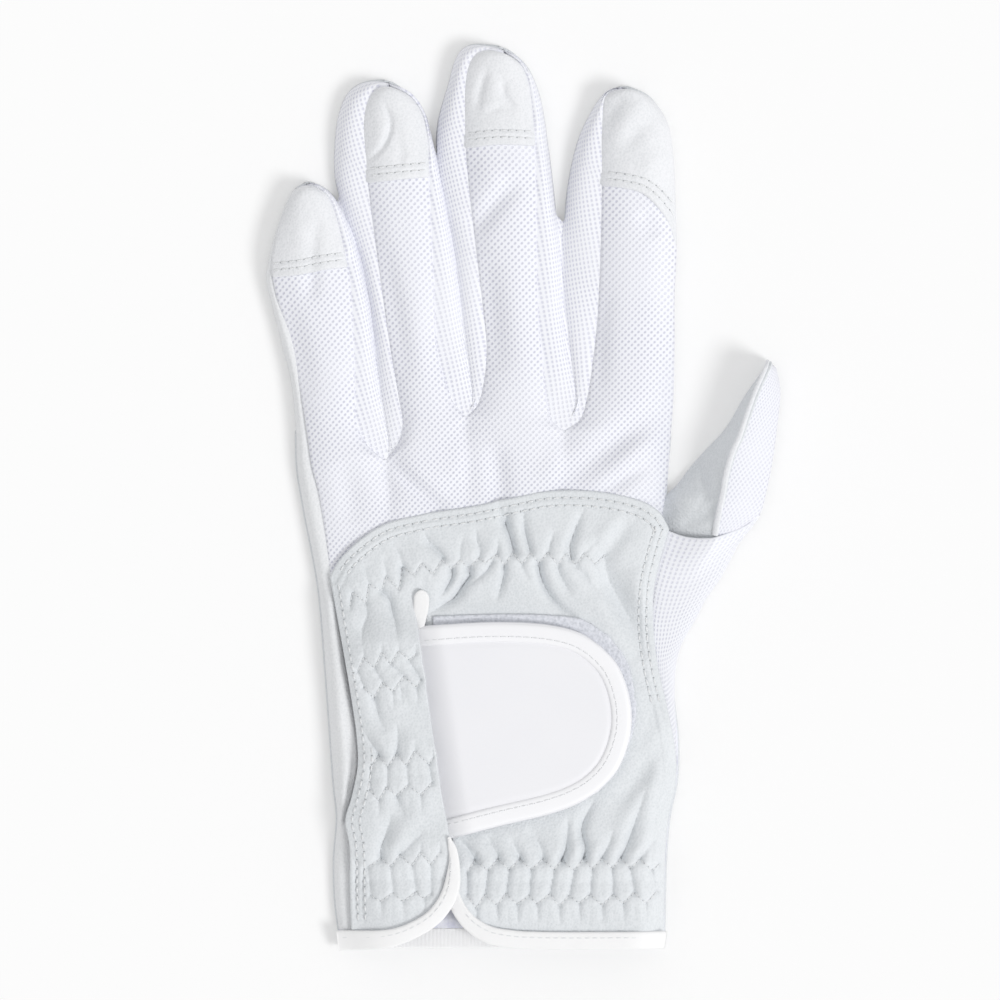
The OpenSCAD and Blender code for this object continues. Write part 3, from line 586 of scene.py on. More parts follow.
class Finish:
    """A node material around one Principled shader."""

    def __init__(self, name, roughness, specular, sheen=0.0):
        self.material = bpy.data.materials.new(name)
        self.material.use_nodes = True
        self.tree = self.material.node_tree
        self.shader = self.tree.nodes["Principled BSDF"]
        self.shader.inputs["Roughness"].default_value = roughness
        self.shader.inputs["Specular IOR Level"].default_value = specular
        self.shader.inputs["Sheen Weight"].default_value = sheen

    def node(self, kind, inputs=None, **settings):
        """A new node. An input takes a number, or another node's output."""
        made = self.tree.nodes.new("ShaderNode" + kind)
        for key, value in settings.items():
            setattr(made, key, value)
        for key, value in (inputs or {}).items():
            if isinstance(value, bpy.types.NodeSocket):
                self.tree.links.new(value, made.inputs[key])
            else:
                made.inputs[key].default_value = value
        return made

    def math(self, operation, a, b):
        return self.node("Math", {0: a, 1: b}, operation=operation).outputs[0]

    def plus(self, a, b, share):
        """One value plus a share of another."""
        return self.math("ADD", a, self.math("MULTIPLY", b, share))

    def vector(self, operation, a, b=(0, 0, 0), output=0):
        return self.node("VectorMath", {0: a, 1: b}, operation=operation).outputs[output]

    def noise(self, place, scale, detail):
        return self.node("TexNoise", {"Vector": place, "Scale": scale, "Detail": detail}).outputs[0]

    def pebbles(self, place, scale):
        return self.node("TexVoronoi", {"Vector": place, "Scale": scale}).outputs[0]

    def tones(self, share, dark, light):
        """Base colour between two tones."""
        mixed = self.node("Mix", {0: share, 6: dark, 7: light}, data_type="RGBA")
        self.tree.links.new(mixed.outputs[2], self.shader.inputs["Base Color"])

    def bump(self, height, depth, strength):
        """Relief of a depth in millimetres."""
        made = self.node("Bump", {"Height": height, "Distance": depth * METRE, "Strength": strength})
        self.tree.links.new(made.outputs[0], self.shader.inputs["Normal"])

    def spread(self, value, low, high):
        """A value stretched so that low and high become 0 and 1."""
        return self.node("MapRange", {0: value, 1: low, 2: high}, interpolation_type="SMOOTHSTEP").outputs[0]

    def place(self):
        return self.node("TexCoord").outputs["Object"]

    def pattern(self, turn, pitch):
        """The piece's own cloth coordinates, turned, in units of a pitch in millimetres."""
        flat = self.node("UVMap", uv_map="pattern").outputs[0]
        scale = (1 / pitch, 1 / pitch, 1)
        return self.node("Mapping", {0: flat, 2: (0, 0, math.radians(turn)), 3: scale}).outputs[0]


KNIT_PITCH = 1.16
KNIT_MIDDLE = (0.5, 0.5, 0)
KNIT_HOLE = (1.05, 0.8, 0)


def leather(name, dark, light):
    """Soft leather with a pebbled grain."""
    f = Finish(name, roughness=0.62, specular=0.2)
    place = f.place()
    relief = f.plus(f.pebbles(place, scale=1700), f.noise(place, scale=1100, detail=3), share=0.7)
    cloudy = f.math("ADD", relief, f.noise(place, scale=60, detail=2))
    f.tones(f.spread(cloudy, low=0.5, high=1.9), dark, light)
    f.bump(relief, depth=0.16, strength=0.6)
    return f.material


def knit(name, turn, hole, light):
    """An open knit: threads round a lattice of small holes, fainter in places."""
    f = Finish(name, roughness=0.8, specular=0.2, sheen=0.15)
    flat = f.pattern(turn, KNIT_PITCH)
    cell = f.vector("SUBTRACT", f.vector("FRACTION", flat), KNIT_MIDDLE)
    off = f.vector("LENGTH", f.vector("MULTIPLY", cell, KNIT_HOLE), output=1)
    yarn = f.spread(off, low=0.05, high=0.40)
    uneven = f.noise(flat, scale=1.7, detail=2)
    faint = f.spread(f.noise(f.place(), scale=55, detail=2), low=0.35, high=0.7)
    shown = f.math("MAXIMUM", yarn, f.math("MULTIPLY", faint, 0.6))
    f.tones(f.math("MULTIPLY", shown, f.spread(uneven, low=-0.9, high=0.45)), hole, light)
    f.bump(f.plus(yarn, uneven, share=0.3), depth=0.16, strength=0.7)
    return f.material


def woven(name, dark, light, pitch):
    """A close weave with fine ribs."""
    f = Finish(name, roughness=0.6, specular=0.25, sheen=0.1)
    flat = f.pattern(0, pitch)
    ribs = f.node("TexWave", {"Vector": flat, "Scale": 1.0, "Distortion": 0.6, "Detail": 1}).outputs[1]
    fuzz = f.noise(f.place(), scale=900, detail=4)
    f.tones(f.plus(f.math("MULTIPLY", ribs, 0.5), fuzz, share=0.5), dark, light)
    f.bump(f.math("ADD", ribs, fuzz), depth=0.1, strength=0.5)
    return f.material


def fuzzy(name, dark, light, scale, depth):
    """A napped face of short curled fibres."""
    f = Finish(name, roughness=0.9, specular=0.1, sheen=0.4)
    place = f.place()
    curl = f.noise(place, scale, detail=6)
    tuft = f.pebbles(place, scale * 0.6)
    f.tones(f.spread(f.plus(curl, tuft, share=0.4), low=0.35, high=0.95), dark, light)
    f.bump(f.math("ADD", curl, tuft), depth, strength=0.9)
    return f.material


def coated(name, dark, light):
    """Smooth coated sheet with a faint orange-peel face."""
    f = Finish(name, roughness=0.42, specular=0.4)
    place = f.place()
    f.tones(f.noise(place, scale=45, detail=3), dark, light)
    peel = f.plus(f.noise(place, scale=1300, detail=2), f.noise(place, scale=160, detail=2), share=0.8)
    f.bump(peel, depth=0.05, strength=0.4)
    return f.material


def twisted(name, dark, light):
    """Sewing thread, with slanted plies."""
    f = Finish(name, roughness=0.6, specular=0.3)
    ply = f.node("TexWave", {"Vector": f.pattern(turn=35, pitch=0.25), "Scale": 1.0}).outputs[1]
    f.tones(ply, dark, light)
    f.bump(ply, depth=0.05, strength=0.6)
    return f.material


LEATHER_LOOK = leather("glove_leather", tone(215, 219, 222), tone(228, 231, 234))
# The edge wrap's leather is a lighter copy of the glove leather: painted light on the wrap's left-facing
# slope.
WRAP_PAINTED_LIGHT_LOOK = leather("wrap_leather_painted_light", tone(230, 232, 234), tone(240, 241, 243))
# The thumb's piping is a real strip along the crest, toned lighter than the glove leather as a painted
# highlight of the lit crest.
PIPING_AND_HIGHLIGHT_LOOK = leather("piping_leather_and_painted_highlight", tone(224, 226, 230), tone(238, 239, 242))
CAP_LOOK = leather("cap_leather", tone(225, 227, 230), tone(238, 239, 242))
LINING_LOOK = fuzzy("palm_lining", tone(222, 223, 238), tone(246, 247, 254), 900, 0.15)
BACK_LOOK = knit("back_knit", 45, tone(204, 205, 219), tone(243, 244, 250))
SIDE_LOOK = knit("side_knit", 0, tone(217, 218, 232), tone(247, 248, 253))
# The thumb's knit is a darker copy of the back knit: painted shade that tones down its side that faces the
# lamp.
THUMB_PAINTED_SHADE_LOOK = knit("thumb_knit_painted_shade", 45, tone(212, 213, 225), tone(238, 239, 245))
ROOT_LOOK = knit("root_knit", 0, tone(216, 217, 229), tone(241, 242, 247))
TAPE_LOOK = woven("binding_tape", tone(252, 252, 253), tone(255, 255, 255), 0.5)
TAB_LOOK = coated("tab_face", tone(238, 238, 242), tone(243, 243, 246))
EDGE_LOOK = coated("tab_edge", tone(243, 243, 246), tone(249, 249, 251))
LOOP_LOOK = fuzzy("loop_fleece", tone(207, 210, 217), tone(231, 233, 240), 1700, 0.15)
HOOK_LOOK = fuzzy("hook_tape", tone(205, 205, 208), tone(232, 232, 235), 700, 0.2)
ELASTIC_LOOK = woven("elastic", tone(222, 222, 226), tone(243, 243, 246), 0.9)
RIB_LOOK = woven("cuff_rib", tone(251, 251, 253), tone(255, 255, 255), 0.7)
THREAD_LOOK = twisted("sewing_thread", tone(236, 238, 240), tone(246, 247, 248))
# Dark marks at the needle holes: painted shade of the holes.
NEEDLE_SHADE_LOOK = twisted("needle_hole_shade", tone(176, 179, 182), tone(196, 199, 202))


# Fingers
EDGE_POINTS = 400
COLUMNS = 24
ROWS = 110
TIP_FALL = 8.0
TIP_POWER = 3.5
TIP_LEAST = 0.02
CROWN_POWER = 2.5
INDEX_SIDE_POWER = 6
LEAST_WIDTH = 0.1
KNIT_FAN = 700.0
FAN_X = 19.0
FAN_Y = 45.0
strip_left, strip_right, palm_left, palm_right = (
    {f: outline(edges[f], EDGE_POINTS) for f in FINGERS}
    for edges in (STRIP_LEFT, STRIP_RIGHT, PALM_LEFT, PALM_RIGHT)
)
finger_length = {f: (run_length(strip_left[f]) + run_length(strip_right[f])) / 2 for f in FINGERS}
hem_share = {
    f: (share_near(strip_left[f], plan(CAP_HEM[f][0])), share_near(strip_right[f], plan(CAP_HEM[f][-1])))
    for f in FINGERS
}


def fan(xy):
    """Cloth coordinates that lean with the spread of the fingers."""
    x, y = xy[..., 0] - FAN_X, xy[..., 1] + KNIT_FAN - FAN_Y
    return np.stack([np.arctan2(x, y), np.log(np.hypot(x, y) / KNIT_FAN)], -1) * KNIT_FAN


def tip_share(finger, t):
    """How much of the full height is left near a fingertip."""
    over = np.clip(1 - (1 - t) * finger_length[finger] / TIP_FALL, 0, 1)
    return np.sqrt(np.maximum(TIP_LEAST, 1 - over**TIP_POWER))


def finger_height(finger, u, t):
    side = lerp(SEAM, FOOT, u**INDEX_SIDE_POWER) if finger == "index" else SEAM
    full = side + CROWN * (1 - np.abs(2 * u - 1) ** CROWN_POWER)
    return lerp(FOOT, full, tip_share(finger, t))


def across_share(finger, xy):
    """How far plan points lie across a finger's back strip."""
    left, right = (
        np.interp(xy[..., 1], np.maximum.accumulate(edge[finger][:, 1]), edge[finger][:, 0])
        for edge in (strip_left, strip_right)
    )
    return np.clip((xy[..., 0] - left) / np.maximum(right - left, LEAST_WIDTH), 0, 1)


def strip_grid(finger, left_shares, right_shares):
    left = walk(strip_left[finger], left_shares)[:, None]
    right = walk(strip_right[finger], right_shares)[:, None]
    u = shares(COLUMNS)[None, :]
    t = lerp(np.asarray(left_shares)[:, None], np.asarray(right_shares)[:, None], u)
    xy = lerp(left, right, u[..., None])
    return np.dstack([xy, finger_height(finger, u, t)])


def comb(hand, fingers):
    """One point list and its faces: a hand grid whose first row carries the finger grids."""
    width = hand.shape[1]
    hand_ids = np.arange(hand.shape[0] * width).reshape(-1, width)
    points, faces = [hand.reshape(-1, hand.shape[2])], [cells(hand_ids[::-1])]
    start = hand_ids.size
    for k, grid in enumerate(fingers):
        rows, columns = grid.shape[0] - 1, grid.shape[1]
        ids = start + np.arange(rows * columns).reshape(rows, columns)
        root = hand_ids[:1, k * columns:(k + 1) * columns]
        points.append(grid[1:].reshape(-1, grid.shape[2]))
        faces.append(cells(np.vstack([root, ids])))
        start += ids.size
    return np.vstack(points), np.vstack(faces)


# Knit back. Each fold is a line, a width and a height.
BACK_FOLDS = [
    ([(672, 400), (622, 436), (566, 484)], 3.6, -2.0),
    ([(668, 432), (640, 448), (606, 470)], 2.4, 0.8),
    ([(652, 462), (624, 478), (600, 494)], 2.0, -1.2),
    ([(389, 459), (412, 484), (448, 513)], 1.8, -1.6),
    ([(402, 452), (428, 476), (452, 490)], 3.0, 0.8),
    ([(494, 444), (498, 476), (503, 508)], 2.8, -1.8),
    ([(470, 425), (463, 452), (457, 484)], 3.2, 0.8),
    ([(565, 440), (557, 462), (546, 484)], 3.2, 0.8),
    ([(340, 460), (350, 495), (352, 525)], 3.6, -1.0),
    ([(314, 258), (312, 280), (310, 300)], 2.0, -1.0),
    ([(284, 296), (298, 345), (312, 400)], 3.2, -1.2),
    ([(520, 182), (498, 200), (474, 234)], 2.6, -1.8),
    ([(474, 166), (492, 176), (503, 186)], 2.6, 0.7),
    ([(486, 255), (493, 318), (500, 375)], 3.4, -2.0),
    ([(640, 210), (648, 222), (656, 238)], 2.6, -1.2),
    ([(383, 245), (397, 320), (408, 385)], 2.6, -1.4),
    ([(604, 290), (598, 340), (600, 390)], 2.6, -1.3),
]
BACK_ROWS = 56
CAP_LAP = {"little": (4.5, 4.5), "ring": (4.5, 4.5), "middle": (4.5, 4.5), "index": (5.5, 11.0)}
TUCK_TOP = PANEL_TOP - LEATHER + 0.2
TUCK_LEFT_DROP = TUCK_TOP - SEAM + 0.5
TUCK_LEFT_WIDTH, TUCK_RIGHT_WIDTH = 0.26, 0.16
TUCK_LEFT_POWER, TUCK_RIGHT_POWER = 1.5, 4


def back_low_height(w):
    """Height of the knit where it is tucked under the wrist panel, w across the hand."""
    left = np.clip(1 - w / TUCK_LEFT_WIDTH, 0, 1) ** TUCK_LEFT_POWER
    right = np.clip((w - 1 + TUCK_RIGHT_WIDTH) / TUCK_RIGHT_WIDTH, 0, 1) ** TUCK_RIGHT_POWER
    return TUCK_TOP - TUCK_LEFT_DROP * left - (TUCK_TOP - FOOT) * right


def back_mesh():
    u = shares(COLUMNS)
    root = np.vstack([lerp(strip_left[f][0], strip_right[f][0], u[:, None]) for f in FINGERS])
    root_z = np.concatenate([finger_height(f, u, 0.0) for f in FINGERS])
    w = (root[:, 0] - root[0, 0]) / (root[-1, 0] - root[0, 0])
    tuck = walk(outline(BACK_TUCK, EDGE_POINTS), w)
    xy = coons(root, tuck, outline(HAND_LEFT, BACK_ROWS), outline(HAND_RIGHT, BACK_ROWS))
    v = smooth(shares(BACK_ROWS))[:, None]
    hand = np.dstack([xy, lerp(root_z[None], back_low_height(w)[None], v)])
    fingers = []
    for f in FINGERS:
        ends = [share + lap / finger_length[f] for share, lap in zip(hem_share[f], CAP_LAP[f])]
        fingers.append(strip_grid(f, np.linspace(0, ends[0], ROWS), np.linspace(0, ends[1], ROWS)))
    points, faces = comb(hand, fingers)
    xy = points[:, :2]
    points[:, 2] += creases(xy, BACK_FOLDS) + valleys(xy, KNUCKLE_VALLEYS)
    return Cloth("back_mesh", points, faces, KNIT, [BACK_LOOK], fan(xy))


# Fingertip caps
CAP_FOLDS = {
    "little": [
        ([(319, 218), (314, 243), (312, 285)], 1.6, -0.7),
        ([(295, 215), (300, 240), (298, 262)], 2.4, 0.4),
    ],
    "ring": [
        ([(384, 104), (390, 119), (389, 134), (381, 149), (368, 161)], 0.8, -1.0),
        ([(372, 108), (379, 126), (376, 146)], 1.5, 0.3),
        ([(402, 112), (408, 132), (404, 152)], 2.0, 0.25),
        ([(396, 140), (402, 152), (398, 168)], 1.2, -0.4),
    ],
    "middle": [
        ([(487, 70), (481, 88), (477, 112)], 1.1, -0.9),
        ([(503, 80), (504, 95), (516, 110)], 0.9, -0.9),
        ([(494, 70), (493, 92), (492, 112)], 1.5, 0.25),
        ([(519, 76), (521, 96), (526, 116)], 1.6, 0.2),
        ([(486, 114), (502, 108), (514, 118)], 1.0, -0.5),
    ],
    "index": [
        ([(608, 148), (628, 118), (648, 96)], 2.4, 0.7),
        ([(606, 122), (616, 106), (624, 96)], 1.6, -0.5),
        ([(622, 152), (640, 130), (660, 118)], 2.0, -0.6),
        ([(640, 172), (656, 160), (668, 150)], 2.4, 0.4),
        ([(640, 182), (660, 188), (672, 205)], 1.4, -0.5),
    ],
}
CAP_RISE = 0.55
CAP_STITCH_ROWS = (1.6, 3.3)
CAP_TURN = (6.0, 3.0)
CAP_ROWS, CAP_COLUMNS = 76, COLUMNS + 16
CAP_HEM_POINTS, CAP_HEM_TRIM = 80, 3
CAP_SIDE_GAP = 0.5
NOSE_START, NOSE_RUN = 0.85, 0.1
SKIRT_REACH = 0.6
SKIRT_FOOT = FOOT - 0.3
SKIRT_SHARES = (0.08, 1)


def cap_skirt(edge, foot):
    """Leather that goes down from a cap's edge, inside the finger's wall."""
    low = np.column_stack([lerp(edge[:, :2], foot, SKIRT_REACH), np.full(len(edge), SKIRT_FOOT)])
    return np.stack([lerp(edge, low, share) for share in SKIRT_SHARES], 1)


def fingertip_cap(finger):
    hem_left, hem_right = hem_share[finger]
    left_t = np.linspace(hem_left, 1, CAP_ROWS)
    right_t = np.linspace(hem_right, 1, CAP_ROWS)
    left, right = walk(strip_left[finger], left_t), walk(strip_right[finger], right_t)
    hem = spline(np.vstack([left[:1], plan(CAP_HEM[finger][1:-1]), right[:1]]), CAP_COLUMNS)
    tip = spaced(np.vstack([left[-1:], right[-1:]]), CAP_COLUMNS)
    xy = coons(hem, tip, left, right)
    share = shares(CAP_COLUMNS)[None]
    t = lerp(left_t[:, None], right_t[:, None], share)
    u = lerp(across_share(finger, xy), share, ramp(t, NOSE_START, NOSE_RUN))
    z = finger_height(finger, u, t) + CAP_RISE
    z = z + creases(xy, CAP_FOLDS[finger]) + pressed(xy, hem, CAP_STITCH_ROWS)
    grid = np.dstack([xy, z])
    left_low = cap_skirt(grid[:, 0], walk(palm_left[finger], left_t))
    right_low = cap_skirt(grid[:, -1], walk(palm_right[finger], right_t))
    grid = np.concatenate([left_low[:, ::-1], grid, right_low], axis=1)
    return grid_cloth(f"{finger}_cap", grid, LEATHER, [CAP_LOOK])


def cap_stitches(finger, cloth):
    hem = outline(CAP_HEM[finger], CAP_HEM_POINTS)[CAP_HEM_TRIM:-CAP_HEM_TRIM]
    parts = []
    for gap in CAP_STITCH_ROWS:
        row = offset(hem, gap)
        side = np.interp(row[:, 1], strip_right[finger][:, 1], strip_right[finger][:, 0])
        parts += thread_row(row[row[:, 0] < side - CAP_SIDE_GAP], cloth, **CAP_THREAD)
    return parts


# Walls between the fingers. Pairs for a left and a right wall come in that order.
PART_SHARE = {"little": (0.0, 0.76), "ring": (0.56, 0.67), "middle": (0.55, 0.44), "index": (0.47, 0.0)}
PART_RUN = 0.12
GAP_DEPTH = (0.5, 2.6)
GAP_RUN = 0.3
WALL_TOP = SEAM - 0.12
WALL_PUFF = (0.15, 0.4)
WALL_PUFF_RUN = 0.12
WALL_POWER = 0.75
LEFT_POWERS, RIGHT_POWER = (4.0, 2.2), 4.5
BESIDE_CAP_RUN = 0.05
BESIDE_CAP_RISE, BESIDE_CAP_TUCK = 0.65, 0.5
PAST_REACH, PAST_DROP = (-1.5, 3), 8
GUSSET_COUNT = 150
GUSSET_CROWDING = 1.3
GUSSET_SHARES = np.concatenate([np.linspace(-0.05, 1, 22), [1.05, 1.12]])[:, None]


def side_wall(finger, side, c, t):
    """Reach and height of a finger's wall, c down from its seam. The walls of two fingers meet in a gap up to
    where the fingers part, and go down to the palm above that. The thumb-side wall stays level for longer."""
    beside_cap = ramp(t, hem_share[finger][side], BESIDE_CAP_RUN)
    top = lerp(FOOT, WALL_TOP, tip_share(finger, t)) + BESIDE_CAP_RISE * beside_cap
    joined = 1 - ramp(t, PART_SHARE[finger][side], PART_RUN)
    low = lerp(FOOT, top - lerp(*GAP_DEPTH, ramp(t, 0, GAP_RUN)), joined)
    inside, past = np.clip(c, 0, 1), np.clip(c - 1, 0, 1)
    power = RIGHT_POWER if side else lerp(*LEFT_POWERS, joined)
    puff = WALL_PUFF[side] * np.sin(np.pi * inside) * ramp(t, 0, WALL_PUFF_RUN) * tip_share(finger, t)
    z = lerp(low, top, (1 - inside**power) ** WALL_POWER) + puff
    tucked = BESIDE_CAP_TUCK * beside_cap * (c < 0)
    reach = np.clip(c, None, 1) + past * lerp(*PAST_REACH, joined)
    return reach, z - PAST_DROP * past * joined - tucked


def gusset(left, right):
    """The side panel that runs down one finger, round the fork and up the next."""
    t = shares(GUSSET_COUNT) ** GUSSET_CROWDING
    c = GUSSET_SHARES
    seams, feet, reaches, heights = [], [], [], []
    for finger, side, seam, foot in ((left, 1, strip_right, palm_right), (right, 0, strip_left, palm_left)):
        reach, height = side_wall(finger, side, c, t[None])
        seams.append(walk(seam[finger], t))
        feet.append(walk(foot[finger], t))
        reaches.append(np.broadcast_to(reach, height.shape))
        heights.append(height)
    seam, foot = (np.vstack([ends[0][::-1], ends[1]]) for ends in (seams, feet))
    reach, z = (np.hstack([parts[0][:, ::-1], parts[1]]) for parts in (reaches, heights))
    z = z + (1 - np.clip(c, 0, 1)) * creases(seam, BACK_FOLDS)[None]
    grid = np.dstack([lerp(seam, foot, reach[..., None]), z])
    sign = np.repeat([1, -1], GUSSET_COUNT)[None]
    flat = np.dstack([grid[..., 0] + sign * (SEAM - z), grid[..., 1]])
    run = seam[0] - seam[GUSSET_COUNT]
    run /= np.linalg.norm(run)
    uv = flat @ np.array([[run[1], run[0]], [-run[0], run[1]]])
    return grid_cloth(f"{left}_{right}_gusset", grid, KNIT, [SIDE_LOOK], uv)


# Palm
PALM_ROWS, PALM_HAND_ROWS = 90, 120
PALM_TIP = 0.985
PALM_INSET, PALM_INSET_MOST = 0.4, 0.45
PALM_CURL, PALM_CURL_WIDTH = 0.9, 2.6


def palm():
    u = shares(COLUMNS)[:, None]
    root = np.vstack([lerp(palm_left[f][0], palm_right[f][0], u) for f in FINGERS])
    side_left, side_right = outline(PALM_SIDE_LEFT, PALM_HAND_ROWS), outline(PALM_SIDE_RIGHT, PALM_HAND_ROWS)
    cuff = spaced(np.vstack([side_left[-1:], side_right[-1:]]), len(root))
    hand = coons(root, cuff, side_left, side_right)
    hand_in = np.minimum(*(np.linalg.norm(hand - edge, axis=2) for edge in (hand[:, :1], hand[:, -1:])))
    t = np.linspace(0, PALM_TIP, PALM_ROWS)
    fingers = []
    for f in FINGERS:
        left, right = walk(palm_left[f], t)[:, None], walk(palm_right[f], t)[:, None]
        across = np.linalg.norm(right - left, axis=2)
        inset = np.minimum(PALM_INSET / across, PALM_INSET_MOST)[..., None]
        inward = np.minimum(np.minimum(u, 1 - u)[:, 0][None] * across, ((1 - t) * finger_length[f])[:, None])
        fingers.append(np.dstack([lerp(left, right, lerp(inset, 1 - inset, u[None])), inward]))
    points, faces = comb(np.dstack([hand, hand_in]), fingers)
    points[:, 2] = LEATHER + PALM_CURL * (1 - smooth(points[:, 2] / PALM_CURL_WIDTH))
    return Cloth("palm_leather", points, faces, LEATHER, [LINING_LOOK, LEATHER_LOOK])


# Edge wrap. Rows are photo rows, and fades are millimetres.
WRAP_TOP_ROW, WRAP_END_ROW = 189, 930
LITTLE_ROOT_ROW = 440
SLACK_ROWS, SLACK_FADES = (620, 815), (15, 6)
CREVICE_ROWS, CREVICE_FADES = (585, 830), (6, 8)
CUFF_ROW, CUFF_FADE = 835, 12
WRAP_COUNT, WRAP_STEPS = 300, 18
WRAP_FOOT = FOOT + 0.4
WRAP_TOP = SEAM - 0.6
WRAP_CUFF_DROP = 0.9
WRAP_FALL_POWER = 4
CREVICE_BULGE, SLACK_BULGE, BULGE_POWER = 0.8, 0.5, 0.6
WRAP_TUCK_IN, WRAP_TUCK_DOWN = 0.9, 0.15
WRAP_UNDER = [(0.35, 1.45), (1.1, 1.05)]
SEAM_JOIN, SIDE_JOIN = 8, 4
WRAP_FOLDS = [
    ([(343, 700), (352, 760), (344, 818)], 1.0, -0.7),
    ([(362, 794), (352, 810), (340, 830)], 0.9, -0.9),
]


def between_rows(y, rows, fades):
    """1 between two photo rows, and 0 at both and beyond."""
    return ramp(row_y(rows[0]) - y, 0, fades[0]) * ramp(y, row_y(rows[1]), fades[1])


def near_cuff(y):
    """1 at the cuff, where the glove lies flatter, and 0 beside the tab."""
    return ramp(row_y(CUFF_ROW) - y, 0, CUFF_FADE)


def edge_wrap():
    """The leather that turns up round the little finger and the side of the hand."""
    hand_seam = outline(HAND_LEFT[:-1] + PANEL_LEFT, EDGE_POINTS)[SEAM_JOIN:]
    seam = np.vstack([strip_left["little"][::-1], hand_seam])
    side = np.vstack([palm_left["little"][::-1], outline(PALM_SIDE_LEFT, EDGE_POINTS)[SIDE_JOIN:]])
    y = np.linspace(row_y(WRAP_TOP_ROW), row_y(WRAP_END_ROW), WRAP_COUNT)
    seam_x = np.interp(-y, -seam[:, 1], seam[:, 0])
    side_x = np.interp(-y, -side[:, 1], side[:, 0])
    slack = between_rows(y, SLACK_ROWS, SLACK_FADES)
    crevice = between_rows(y, CREVICE_ROWS, CREVICE_FADES)
    round_top = tip_share("little", np.clip((y - row_y(LITTLE_ROOT_ROW)) / finger_length["little"], 0, 1))
    seam_z = lerp(FOOT, WRAP_TOP, round_top) + crevice - WRAP_CUFF_DROP * near_cuff(y)
    share = shares(WRAP_STEPS)[:, None]
    swell = np.maximum(np.sin(np.pi * share), 0) ** BULGE_POWER
    bulge = (CREVICE_BULGE * crevice + SLACK_BULGE * slack) * swell
    x = lerp(seam_x, side_x, share)
    z = lerp(WRAP_FOOT, seam_z, 1 - share**WRAP_FALL_POWER) + bulge
    under_x = [side_x + reach for reach, _ in WRAP_UNDER]
    under_z = [np.full(WRAP_COUNT, height) for _, height in WRAP_UNDER]
    x = np.vstack([seam_x + WRAP_TUCK_IN, x, *under_x])
    z = np.vstack([seam_z - WRAP_TUCK_DOWN, z, *under_z])
    grid = np.dstack([x, np.broadcast_to(y, x.shape), z])
    grid[..., 2] += creases(grid[..., :2], WRAP_FOLDS)
    # Its leather is lighter than the glove leather, painted light on the wrap's left-facing slope.
    return grid_cloth("edge_wrap", grid, LEATHER, [WRAP_PAINTED_LIGHT_LOOK], flip=True)


# Zigzag rows that gather the wrist panel, as corners from the left. Only a row below another starts high.
KNUCKLE_ZIGZAG = [
    (350, 606), (353, 592), (366, 603), (369, 584), (382, 591), (386, 576), (399, 590), (403, 567),
    (414, 575), (422, 563), (433, 574), (442, 560), (452, 569), (460, 560), (469, 568), (479, 558),
    (485, 563), (497, 554), (504, 565), (513, 553), (522, 564), (531, 553), (539, 563), (548, 552),
    (558, 565), (566, 553), (576, 565), (584, 553), (595, 564), (606, 554),
]
CUFF_ZIGZAGS = (
    [(467, 872), (475, 860), (488, 870), (498, 859), (509, 869), (520, 859), (531, 869), (543, 859),
     (554, 869), (562, 860), (574, 870), (584, 858), (592, 869), (602, 858), (612, 868), (621, 858),
     (630, 868), (640, 859), (652, 870), (660, 864)],
    [(467, 894), (476, 908), (485, 894), (497, 905), (506, 893), (517, 904), (529, 895), (537, 904),
     (550, 893), (559, 906), (569, 895), (579, 903), (590, 894), (602, 905), (613, 894), (623, 903),
     (634, 892), (646, 903), (657, 891)],
)
FLAP_ZIGZAGS = [
    ([(358, 671), (364, 657), (375, 668), (382, 652), (391, 664), (399, 650), (410, 660), (416, 653)],
     [(364, 687), (374, 698), (383, 682), (393, 691), (404, 676), (417, 687), (421, 679)]),
    ([(371, 767), (379, 755), (388, 766), (397, 753), (407, 765), (415, 750), (429, 764), (433, 757)],
     [(370, 789), (379, 800), (387, 786), (397, 795), (408, 784), (421, 794), (432, 782)]),
    ([(368, 867), (381, 858), (391, 866), (400, 854), (412, 865), (421, 851), (431, 864), (440, 851)],
     [(371, 895), (381, 901), (393, 892), (403, 901), (416, 891), (424, 898), (431, 893)]),
]
